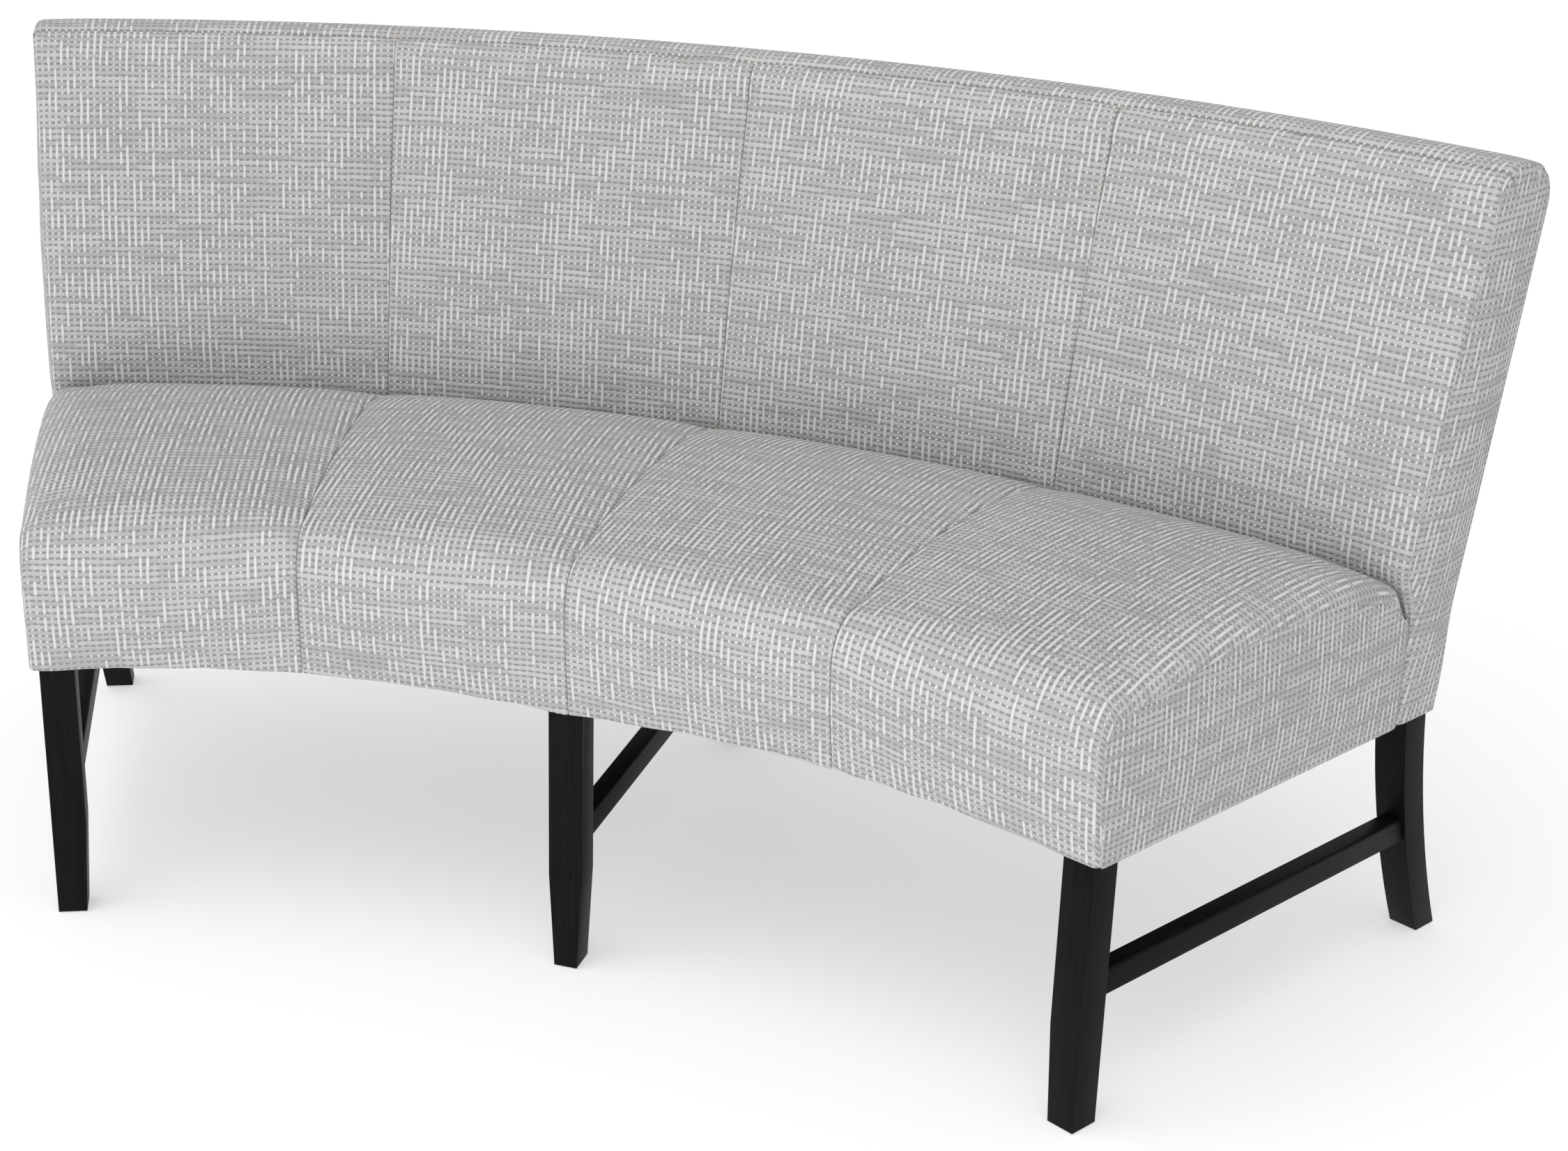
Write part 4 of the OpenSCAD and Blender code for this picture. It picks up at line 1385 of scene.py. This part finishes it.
        piece = Maker.spread(name, len(shares), rows, where)
        row, column = np.divmod(np.arange(len(piece.data.vertices)), len(shares))
        s = shares[column]
        if seat:
            from_end = {0: s * width, plan.panels - 1: (1 - s) * width}.get(k, np.ones_like(s))
            self.shade_furrows(piece, normals[row, 1], from_end)
            buried = points[row, 0] - line.crease_depth + self.held_crease
        else:
            buried = line.crease_z + self.held_crease - points[row, 1]
        edge = np.minimum(np.minimum(s, 1 - s) * width, np.minimum(at[row], at[-1] - at[row]))
        return piece, np.maximum(clamp(1.0 - edge / self.held_w), clamp(buried / self.held_crease))

    @staticmethod
    def shade_furrows(piece: bpy.types.Object, upward: Array, from_end: Array) -> None:
        """Marks a seat panel: its furrows lie in shadow on the top, less so near the bench's end.

        Args:
            piece: the panel.
            upward: the upward part of each point's normal.
            from_end: each point's distance from the bench's end.
        """
        top = clamp(upward * 1.6 - 0.6)
        Maker.mark(piece, top * (0.35 + 0.65 * clamp((from_end - 0.005) / 0.05)))

    def panels(self) -> None:
        """Builds, fills and finishes the seat and back panels."""
        made: list[tuple[bpy.types.Object, str]] = []
        held: dict[str, Array] = {}
        for part, outline, rows in (("seat", self.line.seat(), 104), ("back", self.line.back(), 84)):
            for k in range(self.plan.panels):
                piece, firm = self.panel(f"{part}_panel_{k + 1}_filled", k, outline, rows, part == "seat")
                held[piece.name] = firm
                made.append((piece, f"{part}_cover_panel_{k + 1}"))
        Maker.settle([p for p, _ in made], held, self.furthest_move, self.pressure, self.frames)
        for piece, node in made:
            Maker.finish_sheet(piece, self.thickness)
            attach(piece, "root")
            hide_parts(node)
            dress(piece, self.cover)
            log.info("%s stands for %s", piece.name, node)

    def band(self) -> None:
        """Builds the strip along the top of the back, pulled in a little at each seam."""
        plan, rows = self.plan, 22
        points, normals, at = stepped(self.line.band(), rows, 0.3)
        normals[0] = (0.0, 1.0)
        width = plan.radius(self.band_middle) * 2 * plan.end_angle
        inner = lane_shares(width / plan.panels)
        lanes = np.concatenate([(k + inner) / plan.panels for k in range(plan.panels)])
        shares = np.unique(np.round(lanes, 9))
        joints = [k * width / plan.panels for k in range(1, plan.panels)]

        def where(i: Array, j: Array) -> tuple[Array, ...]:
            """Places the points of the grid.

            Args:
                i: their whole numbers across.
                j: their whole numbers along.

            Returns:
                The points and their cloth coordinates, the end gusset's ones, and 1 where those are laid.
            """
            s, p, n, front = shares[i], points[j], normals[j], at[j]
            a, x = plan.end_angle * (2 * s - 1), s * width
            w = plan.end_distance(a, p[:, 0])
            drop = rolled(w, self.face_edge_r)
            drop = drop + 0.0025 * clamp(1 - w / self.corner_w) ** 2 * clamp(front / 0.05)
            nearest = np.min([np.abs(x - joint) for joint in joints], axis=0)
            pull = self.band_joint.at(nearest) * np.exp(-front / 0.022)
            drop = drop + pull * (1 + 0.4 * ripple(x, 5, 0.02))
            drop = drop + self.band_seam.at(front)
            drop = drop + self.band_gathers.at(front) * ripple(x + 0.4 * front, 8, 0.033)
            drop = drop + self.right_dimple.at(x - width, front)
            drop = drop + self.left_dimple.at(x, front)
            depth, height = p[:, 0] - n[:, 0] * drop, p[:, 1] - n[:, 1] * drop
            placed = plan.put(a, depth, height, self.end_gap * (1 - 2 * s))
            other = self.end_cloth(depth, height, s > 0.5, False)
            cloth = np.stack([x + self.band_cut[0], front + self.band_cut[1]], 1)
            return placed, cloth, other, (w < 0.3 * self.face_edge_r) * 1.0

        self.finish(Maker.spread("top_band_stitched", len(shares), rows, where), "back_top_band")

    def finish(self, piece: bpy.types.Object, node: str) -> None:
        """Thickens, dresses and attaches a padded part of the cover, and hides the CAD node that it stands
        for.

        Args:
            piece: its open sheet.
            node: the CAD node that it stands for.
        """
        Maker.finish_sheet(piece, self.stitched_thickness)
        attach(piece, "root")
        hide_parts(node)
        dress(piece, self.cover)
        log.info("%s stands for %s", piece.name, node)

    def edge_line(self, outline: Array, steps: int, reach_top: float) -> Array:
        """The seam that a gusset shares with the panels: the outline, moved in by their rounded edge.

        Args:
            outline: the cross-section.
            steps: points along it.
            reach_top: how far it is moved in where the outline faces up.

        Returns:
            The seam's points.
        """
        line = self.line
        points, normals, _ = stepped(outline, steps, 0.2)
        up = np.maximum(0.0, normals[:, 1])
        inset = self.face_edge_r + (reach_top - self.face_edge_r) * up
        tucked = clamp((line.crease_z - self.tuck_start - points[:, 1]) / self.tuck_h)
        behind = points[:, 0] > line.crease_depth - line.crease_lip
        inset = inset - (self.face_edge_r - self.tucked_edge) * tucked * behind
        return points - normals * (inset[:, None] - self.seam_lap)

    def gusset(self, hand: str, seat: bool, base: Array, rim: Array) -> None:
        """One end gusset, laid between a base line and the seam.

        Args:
            hand: "left" or "right", the end that it closes.
            seat: whether it closes the seat or the back.
            base: points of its lower or rear edge.
            rim: points of its seam.
        """
        plan, line = self.plan, self.line
        part, right = "seat" if seat else "back", hand == "right"
        count, side = len(rim), 1.0 if right else -1.0
        across = np.sort(np.concatenate([np.linspace(0, 1, 26), [0.004, 0.012, 0.988, 0.996]]))

        def where(i: Array, j: Array) -> tuple[Array, ...]:
            """Places the points of the grid.

            Args:
                i: their whole numbers across.
                j: their whole numbers along.

            Returns:
                The points and their cloth coordinates.
            """
            t = across[i]
            q = base[j] * (1 - t[:, None]) + rim[j] * t[:, None]
            swell = np.maximum(0.0, np.sin(math.pi * t) * np.sin(math.pi * j / (count - 1))) ** 1.2
            out = (1.0 if seat else self.back_gusset_share) * self.gusset_puff * swell
            near = rim[-1, 0] - q[:, 0] if seat else q[:, 0] - rim[j, 0]
            out = out - self.gusset_crease.at(np.maximum(near, 0.0)) * (q[:, 1] < line.crease_z)
            low = clamp(1 - (q[:, 1] - line.hem_middle_z) / self.low_corner_h) ** 2
            q[:, 0] -= (0.0 if seat else self.low_corner_pull) * low * (1 - t)
            high = clamp((q[:, 1] - line.top_z + 0.060) / self.top_corner_h) ** 2
            q[:, 1] += high * line.band_crown * np.sin(math.pi * t)
            q[:, 0] -= high * self.top_corner_pull * (1 - t) ** 2
            out = out + self.waver * swell * ripple(q[:, 0] * 1.3 + q[:, 1], 21 + right, 0.12)
            placed = plan.put(np.full(len(i), plan.end_angle), q[:, 0], q[:, 1], out)
            placed[:, 0] *= side
            return placed, self.end_cloth(q[:, 0], q[:, 1], right, seat)

        piece = Maker.spread(f"{part}_gusset_{hand}_sewn", len(across), count, where)
        lie = self.seat_gusset_lie if seat else self.back_gusset_lie
        Maker.mark(piece, np.full(len(piece.data.vertices), lie))
        Maker.outwards(piece, side)
        self.finish(piece, f"{part}_end_gusset_{hand}")

    def gussets(self) -> None:
        """Builds the four end gussets."""
        line = self.line
        low, low_depth = line.hem_end_z, line.tuck_depth(np.float64(line.hem_end_z))
        seat = line.seat()
        seat[:line.hem_points, 1] = np.linspace(low, line.front_fold_z, line.hem_points)
        outline = np.concatenate([seat[seat[:, 1] >= low], [[low_depth - line.seat_gap, low]]])
        rim = self.edge_line(outline, 90, self.seat_edge_r + self.end_fall)
        rim = rim[rim[:, 1] > low - self.tucked_edge]
        base = np.stack([np.linspace(rim[0, 0], rim[-1, 0], len(rim)), np.full(len(rim), low)], 1)
        back = np.concatenate([[[low_depth + line.back_gap, low]], line.back()])
        seam = self.edge_line(back, 80, self.face_edge_r)
        z, fold_z = seam[:, 1], line.back_fold_z
        t = clamp((z - fold_z) / (float(seam[-1, 1]) - fold_z))
        folded = line.rear_fold() - line.rear_fold_run * (1 - np.cos(np.arcsin(t)))
        rear = np.stack([np.where(z < fold_z, line.rear_skin(z), folded) - self.rear_inset, z], 1)
        for hand in ("left", "right"):
            self.gusset(hand, True, base, rim)
            self.gusset(hand, False, rear, seam)

    def outside(self) -> None:
        """Builds the stretched outside back, tacked under its lower edge."""
        plan, line = self.plan, self.line
        top = line.top_z - line.rear_fold_rise - line.band_gap
        turned_in = line.hem_middle_z - self.seam_lap
        heights = np.concatenate([np.linspace(top, line.hem_middle_z, 60), [turned_in]])
        angles = np.linspace(-plan.end_angle, plan.end_angle, 150)
        arc = plan.radius(self.outside_middle)

        def where(i: Array, j: Array) -> tuple[Array, ...]:
            """Places the points of the grid.

            Args:
                i: their whole numbers across.
                j: their whole numbers along.

            Returns:
                The points and their cloth coordinates.
            """
            z, a = heights[j], angles[i]
            above, below = z - line.hem_middle_z, top - z
            slack = 1 - clamp(above / 0.02)
            depth = line.rear_skin(z) - 0.0020 * slack**2 + self.waver * ripple(a * arc, 52, 0.09) * slack
            depth = depth - 0.0012 * (1 - clamp(below / 0.006)) ** 2
            w = plan.end_distance(a, depth)
            corner = clamp(1 - w / self.corner_w) ** 2
            low_corner = self.low_corner_pull * corner * clamp(1 - above / self.low_corner_h) ** 2
            depth = depth - rolled(w, 0.004) * 0.5 - low_corner
            depth = depth - self.top_corner_pull * corner * clamp(1 - below / self.top_corner_h) ** 2
            placed = plan.put(a, depth, z, 0.0006 * np.sign(-a) * (np.abs(a) > plan.end_angle * 0.999))
            return placed, np.stack([a * arc + self.outside_cut, -z], 1)

        piece = Maker.spread("outside_back_stretched", len(angles), len(heights), where)
        Maker.finish_sheet(piece, self.outside_thickness, False)
        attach(piece, "root")
        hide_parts("outside_back_cover")
        2 * plan.end_angle * (arc + 0.30)
        dress(piece, self.cover)
        log.info("%s stands for outside_back_cover", piece.name)

    def build(self) -> None:
        """Builds the whole cover."""
        self.panels()
        self.band()
        self.gussets()
        self.outside()


@dataclass
class Underframe:
    """The six dark legs with their stretchers and glides."""

    plan: Plan
    leg_eased: float = 0.0013
    stretcher_eased: float = 0.0008
    glide_eased: float = 0.0004

    def build(self) -> None:
        """Eases and stains the legs and stretchers, and dresses the glides."""
        upright = StainedWood("stained_upright", Grain.UP).material()
        for side, turn in (("left", -self.plan.end_angle), ("middle", 0.0), ("right", self.plan.end_angle)):
            level = StainedWood(f"stained_{side}", Grain.REAR, turn).material()
            for row in ("front", "rear"):
                self.stain(Maker.softened(f"{row}_leg_{side}", self.leg_eased, 3), upright)
            self.stain(Maker.softened(f"stretcher_{side}", self.stretcher_eased, 2), level)
        nylon = HardFinish("glide_nylon", (0.045, 0.045, 0.05), 0.0, 0.45).material()
        dress(Maker.softened("foot_glides", self.glide_eased, 2), nylon)

    @staticmethod
    def stain(piece: bpy.types.Object, stained: bpy.types.Material) -> None:
        """Stains a leg or a stretcher."""
        dress(piece, stained)
        log.info("%s eased and stained", piece.name)


@dataclass
class InnerFrame:
    """Everything inside the cover: rails, blocks, suspension, fillings and linings."""

    def finishes(self) -> dict[str, "BareWood | HardFinish | PlainCloth"]:
        """The finish of each material slot inside the cover.

        Returns:
            The finishes by slot.
        """
        return {
            "frame_wood": BareWood("rail_wood", (0.36, 0.22, 0.11), (0.60, 0.43, 0.25)),
            "plywood": BareWood("bent_ply", (0.42, 0.28, 0.14), (0.66, 0.49, 0.29), 30.0),
            "fibreboard": BareWood("hardboard", (0.16, 0.10, 0.05), (0.28, 0.19, 0.11), 120.0),
            "screw_steel": HardFinish("zinc_screws", (0.55, 0.55, 0.57), 1.0, 0.34),
            "foam": PlainCloth("foam_cells", (0.62, 0.55, 0.36), (0.80, 0.74, 0.54), 0.0016, 0.1),
            "wadding": PlainCloth("wadding_fibre", (0.66, 0.66, 0.64), (0.86, 0.86, 0.84), 0.003, 0.0, 0.001),
            "webbing": PlainCloth("webbing_weave", (0.02, 0.02, 0.02), (0.09, 0.09, 0.09), 0.0024),
            "hessian": PlainCloth("hessian_weave", (0.22, 0.15, 0.07), (0.50, 0.38, 0.22), 0.0028),
        }

    def build(self) -> None:
        """Gives each inner CAD node its own finish."""
        made = {slot: finish.material() for slot, finish in self.finishes().items()}
        for entry in frame["record"]["subparts"]:
            node, slot = entry["node"], entry["material_slot"]
            if slot in made:
                dress(frame["nodes"][node], made[slot])
                log.info("%s finished as %s", node, slot)


@dataclass
class DustCover:
    """The thin black cloth under the seat, stapled to the rails."""

    plan: Plan
    inset: float = 0.011
    front: float = 0.002
    rear: float = 0.526
    sag: float = 0.0030
    pucker: float = 0.0006
    staple_pitch: float = 0.04
    pucker_w: float = 0.02
    clearance: float = 0.001
    leg_reach: float = 0.05
    thickness: float = 0.0008
    middle: float = 0.26

    def around_legs(self) -> list[tuple[Vector, Vector]]:
        """Plans of the front legs, with some clearance, as low and high corners.

        Returns:
            A pair of corners for each leg.
        """
        boxes = []
        for side in ("left", "middle", "right"):
            low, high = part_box(f"front_leg_{side}")
            gap = Vector((self.clearance, self.clearance, 0.0))
            boxes.append((low - gap, Vector((high.x + gap.x, min(high.y, low.y + self.leg_reach), high.z))))
        return boxes

    def build(self) -> None:
        """Lays the cloth between the legs, sagging a little and puckered at its staples."""
        _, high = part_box("dust_cover")
        angles = np.linspace(-self.plan.end_angle, self.plan.end_angle, 150)
        depths = np.linspace(self.rear, self.front, 60)

        def where(i: Array, j: Array) -> tuple[Array, ...]:
            """Places the points of the grid.

            Args:
                i: their whole numbers across.
                j: their whole numbers along.

            Returns:
                The points and their cloth coordinates.
            """
            a, d = angles[i], depths[j]
            t = a / self.plan.end_angle
            sag = self.sag * np.sin(math.pi * (d - self.front) / (self.rear - self.front)) ** 0.5 * (1 - t**6)
            near = np.minimum(d - self.front, self.rear - d) < self.pucker_w
            pucker = self.pucker * np.abs(np.sin(math.pi * a * 2.0 / self.staple_pitch)) * near
            placed = self.plan.put(a, d, high.z - sag - pucker, -self.inset * t)
            return placed, placed[:, :2]

        piece = Maker.spread("dust_cover_stapled", len(angles), len(depths), where)
        Maker.cut_away(piece, self.around_legs())
        Maker.finish_sheet(piece, self.thickness, False)
        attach(piece, "root")
        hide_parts("dust_cover")
        wide = 2 * self.plan.end_angle * self.plan.radius(self.middle)
        cloth = PlainCloth("dust_cloth_felt", (0.012, 0.012, 0.013), (0.05, 0.05, 0.052), 0.0016, 0.15)
        dress(piece, cloth.material())
        log.info("%s stands for dust_cover", piece.name)


# Studio


@dataclass
class Studio:
    """Pale floor, soft light and the camera at the photograph's place."""

    line_y: float
    camera_at: tuple[float, float, float] = (1.03235, -2.51194, 1.61225)
    lens: float = 66.236
    down: float = 65.721
    turn: float = 22.486
    shift: tuple[float, float] = (0.1402, 0.0440)
    key: float = 1.83
    fill: float = 0.33
    sky: float = 0.63
    low: float = 18.0
    paint: Colour = (0.95, 0.95, 0.95)
    glow: float = 0.48

    def build(self) -> None:
        """Builds the studio."""
        self.camera()
        self.floor()
        self.lights()
        self.surroundings()

    def camera(self) -> None:
        """Sets the camera at the angle fitted to the photograph."""
        data = bpy.data.cameras.new("view")
        data.sensor_width, data.sensor_fit, data.lens = 36.0, "HORIZONTAL", self.lens
        data.shift_x, data.shift_y = self.shift
        data.clip_end = 100.0
        camera = bpy.data.objects.new("view", data)
        x, y, z = self.camera_at
        camera.location = (x, y + self.line_y, z)
        camera.rotation_euler = (math.radians(self.down), 0.0, math.radians(self.turn))
        bpy.context.scene.collection.objects.link(camera)
        bpy.context.scene.camera = camera

    def floor(self) -> None:
        """Lays the pale floor, which keeps the bench's soft shadow."""
        bpy.ops.object.select_all(action="DESELECT")
        bpy.ops.mesh.primitive_plane_add(size=80.0, location=(0.0, 0.0, 0.0))
        floor = bpy.context.active_object
        floor.name = "studio_floor"
        kit = NodeKit("pale_floor")
        path = kit.node("ShaderNodeLightPath")
        seen = Value(kit, path.outputs["Is Camera Ray"]).most(Value(kit, path.outputs["Is Glossy Ray"]))
        seen = seen.most(Value(kit, path.outputs["Is Transmission Ray"]))
        paint = kit.node("ShaderNodeBsdfDiffuse", None, {"Color": self.paint}).outputs[0]
        glow = kit.node("ShaderNodeEmission", None, {"Color": (1.0, 1.0, 1.0), "Strength": 1.0}).outputs[0]
        mixed = kit.node("ShaderNodeMixShader", None, {0: seen * self.glow, 1: paint, 2: glow})
        kit.tree.links.new(mixed.outputs[0], kit.output.inputs[0])
        floor.data.materials.append(kit.material)

    def sun(self, name: str, strength: float, spread: float, tilt: tuple[float, float, float]) -> None:
        """Adds a broad soft lamp.

        Args:
            name: its name.
            strength: its strength.
            spread: the angle that it spreads over, in degrees.
            tilt: its turns about X, Y and Z, in degrees.
        """
        data = bpy.data.lights.new(name, "SUN")
        data.energy, data.angle = strength, math.radians(spread)
        lamp = bpy.data.objects.new(name, data)
        lamp.rotation_euler = tuple(math.radians(t) for t in tilt)
        bpy.context.scene.collection.objects.link(lamp)

    def lights(self) -> None:
        """Sets the two broad lamps and a low one that lights the legs."""
        self.sun("key", self.key, 70.0, (36.0, 0.0, -24.0))
        self.sun("fill", self.fill, 90.0, (58.0, 0.0, 48.0))
        data = bpy.data.lights.new("low", "AREA")
        data.shape, data.size, data.size_y, data.energy = "RECTANGLE", 3.2, 0.5, self.low
        lamp = bpy.data.objects.new("low", data)
        lamp.location = (0.25, -2.6, 0.28)
        lamp.rotation_euler = (math.radians(94.0), 0.0, math.radians(4.0))
        lamp.visible_camera = False
        bpy.context.scene.collection.objects.link(lamp)

    def surroundings(self) -> None:
        """Sets a white world, which lights the bench less than the camera sees, and the plain view."""
        world = bpy.data.worlds.new("studio_sky")
        world.use_nodes = True
        tree = world.node_tree
        tree.nodes.clear()
        path, plain, seen, mix, end = (tree.nodes.new(f"ShaderNode{kind}") for kind in (
            "LightPath", "Background", "Background", "MixShader", "OutputWorld"))
        plain.inputs["Strength"].default_value = self.sky
        for back in (plain, seen):
            back.inputs["Color"].default_value = (1.0, 1.0, 1.0, 1.0)
        for place, source in enumerate((path.outputs["Is Camera Ray"], plain.outputs[0], seen.outputs[0])):
            tree.links.new(source, mix.inputs[place])
        tree.links.new(mix.outputs[0], end.inputs[0])
        bpy.context.scene.world = world
        bpy.context.scene.view_settings.view_transform = "Standard"


def main() -> None:
    """Builds the sub-assemblies in order."""
    logging.basicConfig(level=logging.INFO, format="%(message)s")
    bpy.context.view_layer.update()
    plan, line = Plan(), Outline()
    Underframe(plan).build()
    InnerFrame().build()
    Upholstery(plan, line, WovenCover().material()).build()
    DustCover(plan).build()
    Studio(plan.centre_y + plan.leg_arc_r).build()


if __name__ == "__main__":
    main()
